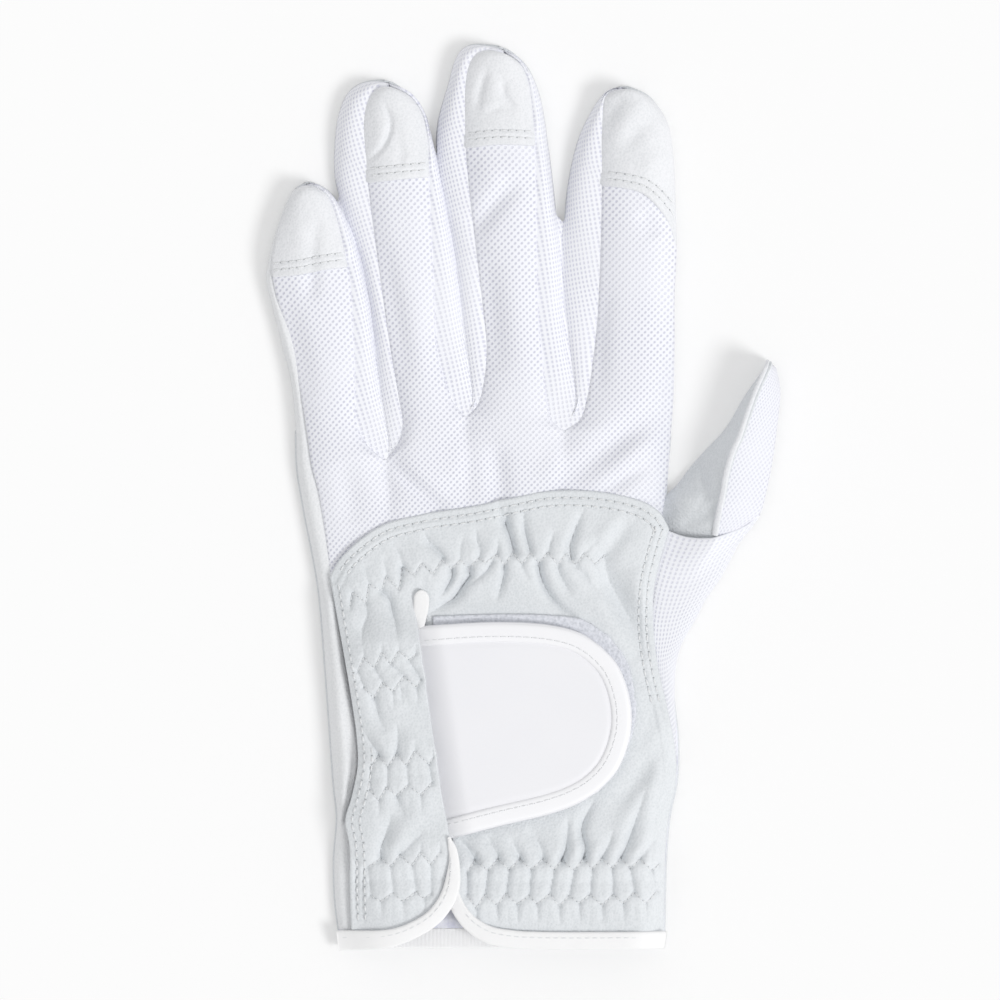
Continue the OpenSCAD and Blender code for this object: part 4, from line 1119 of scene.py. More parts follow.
# Valleys that start at a stitched corner and die out: a line, a width and a depth
KNUCKLE_VALLEYS = [
    ([(443, 558), (437, 550), (429, 543), (424, 530)], 1.0, 1.3),
    ([(460, 557), (461, 545), (465, 533)], 1.5, 0.6),
    ([(479, 557), (480, 550), (477, 540), (476, 527)], 0.9, 0.9),
    ([(497, 554), (498, 547), (497, 536)], 0.8, 0.8),
    ([(514, 551), (510, 537), (505, 522), (497, 501)], 1.1, 1.9),
    ([(506, 524), (507, 515), (507, 506)], 0.8, 0.8),
    ([(530, 550), (526, 535), (524, 520), (524, 506)], 0.9, 1.3),
    ([(548, 552), (551, 540), (555, 529)], 0.9, 0.8),
    ([(566, 552), (568, 543), (571, 534)], 0.8, 0.5),
    ([(571, 558), (570, 547), (573, 536), (578, 522), (585, 506)], 0.9, 1.3),
    ([(584, 553), (592, 545), (602, 538)], 1.0, 0.4),
    ([(604, 556), (608, 578), (618, 598), (632, 624), (648, 664)], 2.6, 0.9),
    ([(369, 584), (366, 572), (364, 562)], 1.2, 0.4),
    ([(386, 576), (385, 565), (383, 554)], 1.2, 0.5),
    ([(403, 567), (399, 553), (391, 541)], 1.2, 0.6),
    ([(352, 594), (351, 604), (350, 614)], 0.8, 0.5),
    ([(366, 603), (367, 615), (362, 632), (364, 652)], 1.8, 0.9),
    ([(382, 591), (389, 598), (392, 609), (396, 625), (397, 645)], 1.0, 1.1),
    ([(402, 568), (401, 580), (399, 592)], 0.8, 0.8),
    ([(452, 570), (452, 577), (446, 588), (438, 600)], 0.9, 1.6),
    ([(469, 569), (471, 573), (463, 585), (454, 598), (444, 604), (428, 614)], 1.1, 2.0),
    ([(492, 562), (486, 571), (478, 578), (468, 586)], 0.9, 1.0),
    ([(504, 566), (504, 574), (501, 586), (496, 602)], 0.9, 1.3),
    ([(522, 565), (525, 572), (530, 580)], 0.9, 0.6),
    ([(539, 564), (540, 573), (545, 587), (553, 599), (564, 610), (580, 619)], 0.85, 1.8),
    ([(558, 566), (560, 574), (565, 584), (573, 596)], 0.9, 1.0),
    ([(576, 566), (583, 574), (591, 584), (600, 597)], 1.1, 0.8),
]
CUFF_VALLEYS = [
    ([(475, 860), (469, 850), (458, 838)], 1.3, 1.3),
    ([(498, 859), (494, 848), (486, 835)], 1.2, 0.9),
    ([(520, 859), (516, 848), (510, 836)], 1.0, 1.0),
    ([(543, 859), (541, 848), (536, 838), (524, 830)], 1.3, 0.9),
    ([(562, 860), (566, 849), (567, 835), (568, 816)], 0.9, 1.5),
    ([(584, 858), (586, 848), (582, 836), (582, 826), (587, 813), (596, 797)], 1.0, 1.7),
    ([(602, 858), (608, 845), (614, 828)], 1.2, 1.0),
    ([(621, 858), (627, 845), (633, 828), (640, 806), (648, 785)], 1.2, 1.4),
    ([(640, 859), (648, 848), (659, 834)], 1.0, 0.7),
]
FLAP_VALLEYS = [
    ([(375, 698), (379, 716), (387, 732)], 1.6, 0.9),
    ([(379, 755), (373, 745), (364, 731)], 1.0, 1.0),
    ([(397, 753), (398, 740), (397, 722)], 1.2, 0.9),
    ([(401, 688), (403, 704)], 1.0, 0.5),
    ([(381, 857), (381, 848), (387, 832), (392, 810)], 1.6, 1.4),
    ([(400, 854), (412, 842), (426, 828)], 1.8, 0.9),
    ([(397, 796), (402, 808), (406, 820)], 1.4, 0.7),
    ([(357, 862), (356, 890), (357, 928)], 0.6, 0.5),
    ([(364, 868), (363, 895), (364, 928)], 0.6, 0.5),
]
SOFT_FOLDS = [
    ([(630, 520), (615, 540), (603, 562)], 2.4, -1.4),
    ([(603, 552), (607, 582), (618, 600), (631, 624), (646, 662)], 3.0, -2.0),
    ([(636, 566), (640, 590), (646, 612)], 3.0, 1.2),
    ([(580, 574), (600, 600), (620, 630), (634, 660)], 3.0, 0.8),
    ([(624, 510), (606, 535), (588, 548)], 2.4, 0.7),
    ([(672, 730), (650, 762), (630, 790), (612, 810)], 2.6, -1.0),
    ([(650, 690), (652, 720), (640, 750)], 2.6, -0.8),
    ([(662, 770), (640, 800), (618, 840)], 2.6, 0.7),
    ([(360, 706), (372, 728), (390, 752)], 2.4, 0.6),
    ([(420, 808), (402, 832), (390, 856)], 2.6, 0.7),
]
GATHER_RISE, GATHER_REACH = 1.2, 5
SEWN_DIP, SEWN_REACH = 0.5, 0.4
PLEAT_WIDTH, PLEAT_DEPTH = 0.8, 0.75
UPPER_PLEAT, UPPER_DEPTH = -11, 0.45
LOWER_PLEAT, LOWER_DEPTH, LOWER_FADE = 17, 0.6, 0.8
FLAP_STRENGTH = 0.7


def gather(xy, rows, strength=1.0):
    """Relief of leather on one row of zigzag stitching, or on two with puffs between them."""
    gap = np.min([along(plan(row), xy)[0] for row in rows], axis=0)
    z = GATHER_RISE * bell(gap / GATHER_REACH) - SEWN_DIP * np.exp(-gap / SEWN_REACH)
    if len(rows) == 2:
        upper, lower = rows
        for ends in zip(upper[0::2], lower[0::2]):
            z = z + valley(xy, ends, PLEAT_WIDTH, PLEAT_DEPTH * strength, 0)
        for x, y in upper[1::2]:
            z = z + valley(xy, [(x, y), (x, y + UPPER_PLEAT)], PLEAT_WIDTH, UPPER_DEPTH * strength, 1)
        for x, y in lower[1::2]:
            ends = [(x, y), (x + 1, y + LOWER_PLEAT)]
            z = z + valley(xy, ends, PLEAT_WIDTH, LOWER_DEPTH * strength, LOWER_FADE)
    return z


SLIT_TOP_Y = plan(DIVIDE[-1])[1]
SLIT_FADE = 13
ROOT_END_Y = plan(ROOT_LEFT[-1])[1]
HEM_STITCH_ROWS = (1.6, 3.5)
PANEL_ROWS, DIVIDE_ROWS = 320, 64
FLAP_COLUMNS, PANEL_COLUMNS = 90, 210
FLAP_SHOULDER, FLAP_RISE = 0.35, 0.65
FLAP_EDGE_RISE, FLAP_EDGE_DROP = 1.7, 2.2
FLAP_CUFF_SHARE = 0.55
THUMB_EDGE_LOW, THUMB_EDGE_HIGH = FOOT + 0.8, SEAM + LEATHER - 0.3
THUMB_EDGE_START, THUMB_EDGE_RUN = 2, 14
THUMB_SIDE_FALL = 6.5
ARCH_LITTLE_POINTS, ARCH_THUMB_POINTS = 60, 120
ARCH_STEP, EDGE_STEP = 4, 12
panel_right = outline(PANEL_RIGHT, EDGE_POINTS)
arch = np.vstack([outline(ARCH_LITTLE, ARCH_LITTLE_POINTS), outline(ARCH_THUMB, ARCH_THUMB_POINTS)[1:]])
arch_coarse = arch[::ARCH_STEP]
edge_coarse = np.vstack([arch_coarse, panel_right[::EDGE_STEP]])


def thumb_edge_height(y):
    """Top of the panel's thumb-side edge: high beside the thumb, and down at the palm near the cuff."""
    return lerp(THUMB_EDGE_LOW, THUMB_EDGE_HIGH, ramp(y - ROOT_END_Y, THUMB_EDGE_START, THUMB_EDGE_RUN))


def flap_heights(xy):
    u = shares(FLAP_COLUMNS)[None]
    y = xy[..., 1]
    free = ramp(SLIT_TOP_Y - y, 0, SLIT_FADE)
    low_end = near_cuff(y)
    swing = np.sin(np.clip(u / FLAP_RISE, 0, 1) * np.pi / 2)
    lift = FLAP_LIFT * swing * free * (1 - FLAP_CUFF_SHARE * low_end)
    edge = SEAM + LEATHER + FLAP_EDGE_RISE * free - FLAP_EDGE_DROP * low_end
    z = lerp(edge, PANEL_TOP, smooth(u / FLAP_SHOULDER)) + lift
    z = z + gather(xy, [KNUCKLE_ZIGZAG]) + sum(gather(xy, rows, FLAP_STRENGTH) for rows in FLAP_ZIGZAGS)
    z = z + valleys(xy, KNUCKLE_VALLEYS + FLAP_VALLEYS) + creases(xy, SOFT_FOLDS)
    return z + pressed(xy, arch_coarse, HEM_STITCH_ROWS)


def thumb_side_heights(xy):
    x, y = xy[..., 0], xy[..., 1]
    edge_x = np.interp(-y, -panel_right[:, 1], panel_right[:, 0])
    fall = np.clip(1 - (edge_x - x) / THUMB_SIDE_FALL, 0, 1) ** 2
    z = lerp(PANEL_TOP, thumb_edge_height(y), fall)
    z = z + gather(xy, [KNUCKLE_ZIGZAG]) + gather(xy, CUFF_ZIGZAGS)
    z = z + valleys(xy, KNUCKLE_VALLEYS + CUFF_VALLEYS) + creases(xy, SOFT_FOLDS)
    return z + pressed(xy, edge_coarse, HEM_STITCH_ROWS)


def wrist_panel():
    """The gathered leather, cut from the cuff up by a slit. Returns the cloth and its two sides."""
    divide = outline(DIVIDE, DIVIDE_ROWS)
    after = PANEL_ROWS - DIVIDE_ROWS + 1
    flap_edge = np.vstack([divide, outline(FLAP_EDGE, after)[1:]])
    slit_edge = np.vstack([divide, outline(SLIT_EDGE, after)[1:]])
    flap_ends = [outline(line, FLAP_COLUMNS) for line in (ARCH_LITTLE, FLAP_HEM)]
    thumb_ends = [outline(line, PANEL_COLUMNS) for line in (ARCH_THUMB, CUFF_HEM)]
    flap_xy = coons(*flap_ends, outline(PANEL_LEFT, PANEL_ROWS), flap_edge)
    thumb_xy = coons(*thumb_ends, slit_edge, outline(PANEL_RIGHT, PANEL_ROWS))
    flap = np.dstack([flap_xy, flap_heights(flap_xy)])
    thumb = np.dstack([thumb_xy, thumb_side_heights(thumb_xy)])
    flap_ids = np.arange(PANEL_ROWS * FLAP_COLUMNS).reshape(PANEL_ROWS, FLAP_COLUMNS)
    thumb_ids = flap_ids.size + np.arange(PANEL_ROWS * PANEL_COLUMNS).reshape(PANEL_ROWS, PANEL_COLUMNS)
    thumb_ids[:DIVIDE_ROWS, 0] = flap_ids[:DIVIDE_ROWS, -1]
    faces = np.vstack([cells(flap_ids[::-1]), cells(thumb_ids[::-1])])
    points = np.vstack([flap.reshape(-1, 3), thumb.reshape(-1, 3)])
    kept = np.unique(faces)
    number = np.zeros(len(points), int)
    number[kept] = np.arange(len(kept))
    cloth = Cloth("wrist_leather", points[kept], number[faces], LEATHER, [LEATHER_LOOK])
    sides = []
    for ids in (flap_ids, thumb_ids):
        used = number[ids.ravel()]
        sides.append(Surface(cloth.points[used], cloth.normals[used]))
    return cloth, *sides


# Tapes and elastic of the wrist
FLAP_TAPE = [(449, 836), (453.5, 852), (454, 868), (450, 892), (436, 914), (416, 928), (390, 937.5),
             (338, 941)]
CUFF_TAPE = [(452, 893), (460, 910), (472, 924), (489, 934), (512, 938.5), (540, 940), (665, 940)]
SLIT_TONGUE = [(420.5, 638), (420.5, 618), (421.5, 603), (421.5, 590)]
TAPE_THICK = 1.3
TAPE_LEAN = (0.0, -0.25, 0.97)
TAPE_EVEN = 12
FLAP_TAPE_COUNT, CUFF_TAPE_COUNT, TONGUE_COUNT = 140, 180, 70
FLAP_TAPE_WIDTHS, FLAP_TAPE_WIDENS = (2.1, 4.2), (0.05, 0.25)
FLAP_TAPE_EXTRA, FLAP_TAPE_ADDS = 1.1, (0.5, 0.5)
FLAP_TAPE_POINT, FLAP_TAPE_TAPER = 0.35, 10
FLAP_TAPE_LIFT, FLAP_TAPE_DROP, FLAP_TAPE_FALLS = 0.5, 3.6, (0.84, 0.16)
CUFF_TAPE_WIDTHS, CUFF_TAPE_WIDENS, CUFF_TAPE_LIFT = (3.6, 4.6), (0, 0.3), 0.35
TONGUE_WIDTHS, TONGUE_WIDENS, TONGUE_LIFT = (1.5, 3.9), (0, 0.7), 1.0
TONGUE_NOSE, TONGUE_NOSE_RUN, TONGUE_NOSE_END = 0.82, 0.18, 0.97
ELASTIC_COUNT, ELASTIC_STEPS, ELASTIC_PROBES = 60, 13, 9
ELASTIC_EVEN_PLACE, ELASTIC_EVEN_HEIGHT = 8, 6
ELASTIC_INSET = 1.5
ELASTIC_THICK, ELASTIC_GAP = 0.5, 0.7
ELASTIC_RIB, ELASTIC_RIB_PITCH = 0.12, 1.5


def level_tape(name, points, surface, lift, width):
    """A tape along the edge of a surface, level from side to side. Returns it and a line of its top."""
    count = len(width)
    xy = outline(points, count)
    z = evened(surface.at(xy)[0] + lift, TAPE_EVEN)
    up = np.tile(TAPE_LEAN, (count, 1))
    path = np.column_stack([xy, z])
    made = tape(name, path, up, width, TAPE_THICK, TAPE_LOOK, sides=20, power=0.35)
    return made, Surface(np.column_stack([xy, z + TAPE_THICK / 2]), up)


def flap_tape(flap):
    """Narrow at the slit, wider along the cuff, and down at the palm by its far end."""
    share = shares(FLAP_TAPE_COUNT)
    width = lerp(*FLAP_TAPE_WIDTHS, ramp(share, *FLAP_TAPE_WIDENS))
    width += FLAP_TAPE_EXTRA * ramp(share, *FLAP_TAPE_ADDS)
    width *= np.clip(FLAP_TAPE_POINT + share * FLAP_TAPE_TAPER, 0, 1)
    lift = FLAP_TAPE_LIFT - FLAP_TAPE_DROP * ramp(share, *FLAP_TAPE_FALLS)
    return level_tape("flap_tape", FLAP_TAPE, flap, lift, width)


def cuff_tape(thumb):
    width = lerp(*CUFF_TAPE_WIDTHS, ramp(shares(CUFF_TAPE_COUNT), *CUFF_TAPE_WIDENS))
    return level_tape("cuff_tape", CUFF_TAPE, thumb, CUFF_TAPE_LIFT, width)


def slit_tongue(thumb):
    """The tape's folded end, round at the top of the slit."""
    share = shares(TONGUE_COUNT)
    full = lerp(*TONGUE_WIDTHS, ramp(share, *TONGUE_WIDENS))
    width = full * np.sqrt(1 - np.clip((share - TONGUE_NOSE) / TONGUE_NOSE_RUN, 0, TONGUE_NOSE_END) ** 2)
    return level_tape("slit_tongue", SLIT_TONGUE, thumb, TONGUE_LIFT, width)


def elastic(name, rows, surface, span):
    """A rib-knit strip that pulls rows of stitching together from below."""
    corners = [plan(row) for row in rows]
    x = np.linspace(corners[0][0, 0] + ELASTIC_INSET, corners[0][-1, 0] - ELASTIC_INSET, ELASTIC_COUNT)
    y = np.mean([np.interp(x, row[:, 0], row[:, 1]) for row in corners], axis=0)
    y = evened(y, ELASTIC_EVEN_PLACE)
    probes = np.linspace(-span, span, ELASTIC_PROBES)
    z = np.array([surface.at(np.stack([x, y + probe], -1))[0] for probe in probes]).min(0)
    z = evened(z, ELASTIC_EVEN_HEIGHT) - LEATHER - ELASTIC_GAP
    across = np.linspace(span, -span, ELASTIC_STEPS)[:, None]
    rib = ELASTIC_RIB * np.sin(across * 2 * np.pi / ELASTIC_RIB_PITCH)
    grid = stacked(x[None], y[None] + across, z[None] + rib)
    return grid_cloth(name, grid, ELASTIC_THICK, [ELASTIC_LOOK], flip=True)


# Tab
TAB_EDGE_WIDTH, TAB_EDGE_THICK, TAB_EDGE_SINK = 4.7, 1.75, 0.55
TAB_DIP, TAB_DIP_START, TAB_DIP_RUN = 1.7, -0.5, 7
TAB_GROOVE, TAB_GROOVE_WIDTH = 0.25, 0.5
TAB_WAVE, TAB_WAVE_X, TAB_WAVE_Y = 0.12, 9, 12
FACE_TOP, FACE_THICK = TAB_TOP - 0.1, 0.9
LOOP_TOP, LOOP_THICK = PANEL_TOP + 0.8, 0.65
HOOK_TOP, HOOK_THICK = TAB_TOP - 1.12, 0.4
TAB_STITCH_ROW, TAB_STITCH_COUNT, TAB_STITCH_TRIM, TAB_STITCH_RISE = 3.3, 300, 14, 0.3
NAP_HEIGHT, NAP_X, NAP_Y = 0.1, 5.1, 4.7
NAP_SWAY, NAP_SWAY_RATE = (1.7, 1.3), (3.3, 2.9)
TAB_POINTS, TAB_STEP = 320, 8
PATCH_COLUMNS, PATCH_ROWS = 90, 70
HOOK_PITCH, HOOK_RADIUS = 1.9, 0.16
HOOK_DROP, HOOK_TURN = 0.6, (0.25, 0, -0.35)
HOOK_UP = (1.0, 0.0, 0.2)
HOOK_MARGIN = 0.5
tab_outline = outline(TAB_UPPER + TAB_ROUND[1:] + TAB_LOWER[-2::-1], TAB_POINTS)
tab_coarse = tab_outline[::TAB_STEP]
flap_edge_line = outline(FLAP_EDGE, EDGE_POINTS)


def tab_dip(xy):
    """How far the tab goes down where it runs in under the flap."""
    edge_x = np.interp(-xy[..., 1], -flap_edge_line[:, 1], flap_edge_line[:, 0])
    return -TAB_DIP * (1 - ramp(xy[..., 0] - edge_x, TAB_DIP_START, TAB_DIP_RUN))


def patch(name, upper, round_end, lower, top, thick, material, relief):
    """A flat piece with one straight end and one round end."""
    first, last = outline(upper, PATCH_COLUMNS), outline(lower, PATCH_COLUMNS)
    left = spaced(np.vstack([first[:1], last[:1]]), PATCH_ROWS)
    xy = coons(first, last, left, outline(round_end, PATCH_ROWS))
    return grid_cloth(name, np.dstack([xy, top + relief(xy)]), thick, [material], flip=True)


def tab_relief(xy):
    gap, _ = along(tab_coarse, xy)
    groove = -TAB_GROOVE * bell((gap - TAB_EDGE_WIDTH) / TAB_GROOVE_WIDTH)
    wave = TAB_WAVE * np.sin(xy[..., 0] / TAB_WAVE_X) * np.cos(xy[..., 1] / TAB_WAVE_Y)
    return groove + tab_dip(xy) + wave


def nap(xy):
    """Uneven pile of a fastener's face."""
    x, y = xy[..., 0], xy[..., 1]
    sway_x = NAP_SWAY[0] * np.sin(y * NAP_SWAY_RATE[0])
    sway_y = NAP_SWAY[1] * np.sin(x * NAP_SWAY_RATE[1])
    return NAP_HEIGHT * np.sin(x * NAP_X + sway_x) * np.cos(y * NAP_Y + sway_y)


def tab_edge():
    line = offset(tab_outline, -TAB_EDGE_WIDTH / 2)
    path = np.column_stack([line, TAB_TOP - TAB_EDGE_SINK + tab_dip(line)])
    up = np.tile(LEVEL_UP, (len(path), 1))
    return tape("tab_edge", path, up, TAB_EDGE_WIDTH, TAB_EDGE_THICK, EDGE_LOOK, sides=22, power=0.3)


def tab_stitches():
    whole = offset(tab_outline, -TAB_STITCH_ROW)
    line = spaced(whole[TAB_STITCH_TRIM:-TAB_STITCH_TRIM], TAB_STITCH_COUNT)
    top = np.column_stack([line, TAB_TOP + TAB_STITCH_RISE + tab_dip(line)])
    return thread_row(line, Surface(top, np.tile(LEVEL_UP, (TAB_STITCH_COUNT, 1))), **TAB_THREAD)


def hook_field(bed):
    """Rows of small hooks that stand down from the tab."""
    low, high = bed.points.min(0), bed.points.max(0)
    inside = plan_tree(bed.points)
    ends, ups = [], []
    for j, y in enumerate(np.arange(low[1], high[1], HOOK_PITCH)):
        for x in np.arange(low[0] + (j % 2) * HOOK_PITCH / 2, high[0], HOOK_PITCH):
            if inside.find((x, y, 0))[2] < HOOK_MARGIN:
                foot = np.array([x, y, low[2] - HOOK_DROP])
                ends.append([foot, foot + HOOK_TURN])
                ups.append(HOOK_UP)
    return stitch_mesh("tab_hooks", [(np.array(ends), np.array(ups), HOOK_RADIUS, 0)], [HOOK_LOOK])


# Thumb
THUMB_ROWS, THUMB_COLUMNS, UNDER_COLUMNS = 120, 26, 22
THUMB_NOSE, THUMB_NOSE_POWER, THUMB_NOSE_LEAST = 2.5, 2.5, 0.001
THUMB_CLIMB, THUMB_START, THUMB_START_RUN = 0.12, 0.5, 0.25
THUMB_EDGE, THUMB_SLOPE_POWER = 1.3, 0.95
THUMB_UNDER, THUMB_UNDER_CURL, THUMB_UNDER_RUN, UNDER_START = 0.06, 0.6, 0.06, 0.02
UNDER_LEFT, UNDER_RIGHT = (0.25, 0), (-0.5, 0)
THUMB_MESH_SINK, THUMB_MESH_WIDTH = 0.15, 15
THUMB_MESH_ROUND, THUMB_MESH_POWER = 1.5, 0.85
PIPING_SHIFT, PIPING_START, PIPING_COUNT = (-0.5, 0), 8, 120
PIPING_LEAN = (-0.35, 0.0, 0.94)
PIPING_WIDTHS, PIPING_THICK = (1.7, 0.9), 0.9
THUMB_FOLDS = [
    ([(718, 509), (701, 517), (680, 524)], 1.5, -1.0),
    ([(668, 498), (684, 499), (698, 507)], 3.6, 1.2),
    ([(699, 468), (704, 485), (708, 503)], 1.3, -0.8),
    ([(712, 466), (716, 480), (716, 494)], 1.6, 0.5),
]
thumb_left, thumb_crest, thumb_right = (
    outline(line, THUMB_ROWS)[:, None] for line in (THUMB_LEFT, THUMB_CREST, THUMB_RIGHT)
)
thumb_t = shares(THUMB_ROWS)[:, None]
crest_length = run_length(thumb_crest[:, 0])
thumb_end = np.clip(1 - (1 - thumb_t) * crest_length / THUMB_NOSE, 0, 1)
thumb_ridge = THUMB_RIDGE * (1 + THUMB_CLIMB * thumb_t**2)
thumb_ridge = thumb_ridge * lerp(THUMB_START, 1, ramp(thumb_t, 0, THUMB_START_RUN))
thumb_nose = np.sqrt(np.maximum(THUMB_NOSE_LEAST, 1 - thumb_end**THUMB_NOSE_POWER))
thumb_top = lerp(FOOT, thumb_ridge, thumb_nose)


def thumb_leather():
    """The leather side that shows, and the underside in one with it."""
    a = shares(THUMB_COLUMNS)[None]
    slope_xy = lerp(thumb_crest, thumb_left, a[..., None])
    slope_z = lerp(THUMB_EDGE, thumb_top, (1 - a) ** THUMB_SLOPE_POWER) + creases(slope_xy, THUMB_FOLDS)
    b = np.linspace(UNDER_START, 1, UNDER_COLUMNS)[None]
    under_xy = lerp(thumb_left + UNDER_LEFT, thumb_right + UNDER_RIGHT, b[..., None])
    under_z = THUMB_UNDER + THUMB_UNDER_CURL * (1 - ramp(b, 0, THUMB_UNDER_RUN)) + 0 * thumb_t
    grid = np.dstack([np.hstack([slope_xy, under_xy]), np.hstack([slope_z, under_z])])
    return grid_cloth("thumb_leather", grid, LEATHER, [LEATHER_LOOK], flip=True)


def thumb_mesh():
    a = shares(THUMB_COLUMNS)[None]
    xy = lerp(thumb_crest, thumb_right, a[..., None])
    high = np.maximum(thumb_top - THUMB_MESH_SINK, FOOT)
    z = lerp(FOOT, high, (1 - a**THUMB_MESH_ROUND) ** THUMB_MESH_POWER)
    run = np.linspace(0, crest_length, THUMB_ROWS)[:, None]
    uv = stacked(a * THUMB_MESH_WIDTH, run)
    # The knit is toned darker, painted shade on a side that faces the lamp.
    return grid_cloth("thumb_mesh", np.dstack([xy, z]), KNIT, [THUMB_PAINTED_SHADE_LOOK], uv)


def thumb_piping():
    crest = np.column_stack([thumb_crest[:, 0] + PIPING_SHIFT, thumb_top[:, 0]])
    path = spaced(crest[PIPING_START:], PIPING_COUNT)
    up = np.tile(PIPING_LEAN, (PIPING_COUNT, 1))
    width = np.linspace(*PIPING_WIDTHS, PIPING_COUNT)
    # Real piping, and its lighter leather is a painted highlight along the lit crest.
    return tape("thumb_piping", path, up, width, PIPING_THICK, PIPING_AND_HIGHLIGHT_LOOK, sides=12, power=0.6)


ROOT_ROWS, ROOT_COLUMNS = 110, 48
ROOT_GAP, ROOT_LEAST = 0.35, 0.2
ROOT_CREST, ROOT_START, ROOT_FALL_POWER = 0.52, 0.62, 0.9
ROOT_ROUND, ROOT_POWER = 2.4, 0.75
ROOT_TENT_REACH, ROOT_WIDTH = 13, 20


def thumb_root():
    """The knit side of the hand, folded over the lower end of the thumb."""
    fold = outline(ROOT_FOLD, ROOT_COLUMNS)
    last = outline([ROOT_LEFT[-1], ROOT_RIGHT[-1]], ROOT_COLUMNS)
    left = outline(ROOT_LEFT, ROOT_ROWS)
    xy = coons(fold, last, left, outline(ROOT_RIGHT, ROOT_ROWS))
    c = shares(ROOT_COLUMNS)[None]
    high = thumb_edge_height(xy[..., 1]) - LEATHER - ROOT_GAP
    side = lerp(FOOT, np.maximum(high, FOOT + ROOT_LEAST), (1 - c**ROOT_ROUND) ** ROOT_POWER)
    rising = lerp(ROOT_START, 1, ramp(c, 0, ROOT_CREST))
    falling = 1 - np.clip((c - ROOT_CREST) / (1 - ROOT_CREST), 0, 1) ** ROOT_FALL_POWER
    tent = lerp(FOOT, ROOT_RISE, np.where(c < ROOT_CREST, rising, falling))
    near = 1 - ramp(np.linalg.norm(xy - xy[:1], axis=2), 0, ROOT_TENT_REACH)
    run = np.linspace(0, run_length(left), ROOT_ROWS)[:, None]
    uv = stacked(c * ROOT_WIDTH, run)
    grid = np.dstack([xy, lerp(side, tent, near)])
    return grid_cloth("thumb_root", grid, KNIT, [ROOT_LOOK], uv, flip=True)


# Cuff band and lining
BAND_LOW, BAND_HIGH = (np.array(corner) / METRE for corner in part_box("palm_cuff_band"))
BAND_INSET, BAND_EDGE = 0.5, 0.1
RIB_END_ROW = 929
RIB_END = row_y(RIB_END_ROW)
RIB_RISE = 2.0
RIB_TOP = BAND_HIGH[2] + RIB_RISE
RIB_COLUMNS, RIB_ROWS = 500, 22
LINING_COLUMNS, LINING_ROWS = 60, 16
RIB_HEIGHT, RIB_PITCH, RIB_THICK = 0.09, 0.95, 0.7
LINING_LAP, LINING_LENGTH, LINING_THICK = 0.5, 9, 0.6
LINING_SINK, LINING_FALL, LINING_FALLS = 0.1, 2, (0.4, 0.6)


def band_x(count):
    return np.linspace(BAND_LOW[0] + BAND_INSET, BAND_HIGH[0] - BAND_INSET, count)[None]


def cuff_rib():
    """The ribbed band inside the palm's cuff."""
    x = band_x(RIB_COLUMNS)
    y = np.linspace(BAND_LOW[1] + BAND_EDGE, RIB_END, RIB_ROWS)[:, None]
    rib = RIB_HEIGHT * np.abs(np.sin(x * np.pi / RIB_PITCH))
    grid = stacked(x, y, RIB_TOP + rib)
    return grid_cloth("cuff_rib", grid, RIB_THICK, [RIB_LOOK])


def cuff_lining():
    """The lining that goes on from the ribbed band into the hand."""
    share = shares(LINING_ROWS)[:, None]
    y = RIB_END - LINING_LAP + LINING_LENGTH * share
    z = RIB_TOP - LINING_SINK - LINING_FALL * ramp(share, *LINING_FALLS)
    grid = stacked(band_x(LINING_COLUMNS), y, z)
    return grid_cloth("cuff_lining", grid, LINING_THICK, [LINING_LOOK])


# Pieces and what they ride on
TAB_BEND_REACH, THUMB_BEND_REACH = 2.4, 3.5
joints = {joint["name"]: joint for joint in frame["joints"]}


def across_joint(name, toward, reach):
    """The joint's two bodies, and points on both sides of it, reach millimetres away."""
    joint = joints[name]
    place = np.array(joint["pos_m"])
    step = np.array(toward) * reach * METRE
    return joint["parent"], joint["child"], tuple(place - step), tuple(place + step)


fold_axis = joints["tab_fold"]["axis"]
TAB_BEND = across_joint("tab_fold", (-fold_axis[1], fold_axis[0], 0), TAB_BEND_REACH)
THUMB_BEND = across_joint("thumb_fold", (0, 1, 0), THUMB_BEND_REACH)


def attach(piece, body, nodes=()):
    """Rides on a body. Where body is a bend across a joint, the piece only has its transform baked and rides
    on neither side.
    """
    if isinstance(body, str):
        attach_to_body(piece, body)
    else:
        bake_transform(piece)
    if nodes:
        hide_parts(*nodes)


def add_sheet(cloth, body, nodes, cut=None):
    """Attaches a cloth. The smaller of its area and that of the rectangle it is cut from, by default its own
    plan box, is worked out but not kept.
    """
    attach(cloth.object, body, nodes)
    flat = np.asarray(cloth.plan_size if cut is None else cut) * METRE
    min(cloth.area, flat.prod())
    return cloth


def add_threads(name, parts, body):
    """Threads and the dark marks of painted shade at their needle holes, as one piece."""
    attach(stitch_mesh(name, parts, [THREAD_LOOK, NEEDLE_SHADE_LOOK]), body)


# Cuts of the folded sheets
WRAP_CUT = (13, 188)
GUSSET_CUT_WIDTH = 11
THUMB_CUT = (45, 52)
RIB_CUT = (82, 10.2)

# Hand and fingers
palm_cloth = add_sheet(palm(), "hand", ["palm_panel"])
back_cloth = add_sheet(back_mesh(), "hand", ["back_panel"])
add_sheet(edge_wrap(), "hand", ["little_edge_wrap"], WRAP_CUT)
for left, right in zip(FINGERS, FINGERS[1:]):
    cut = (GUSSET_CUT_WIDTH, finger_length[left] + finger_length[right])
    add_sheet(gusset(left, right), "hand", [f"gusset_{left}_{right}"], cut)
cap_threads = []
for finger in FINGERS:
    cloth = fingertip_cap(finger)
    cut = cloth.plan_size + CAP_TURN
    add_sheet(cloth, "hand", [f"tip_cap_{finger}"], cut)
    cap_threads += cap_stitches(finger, cloth)
add_threads("cap_stitches", cap_threads, "hand")

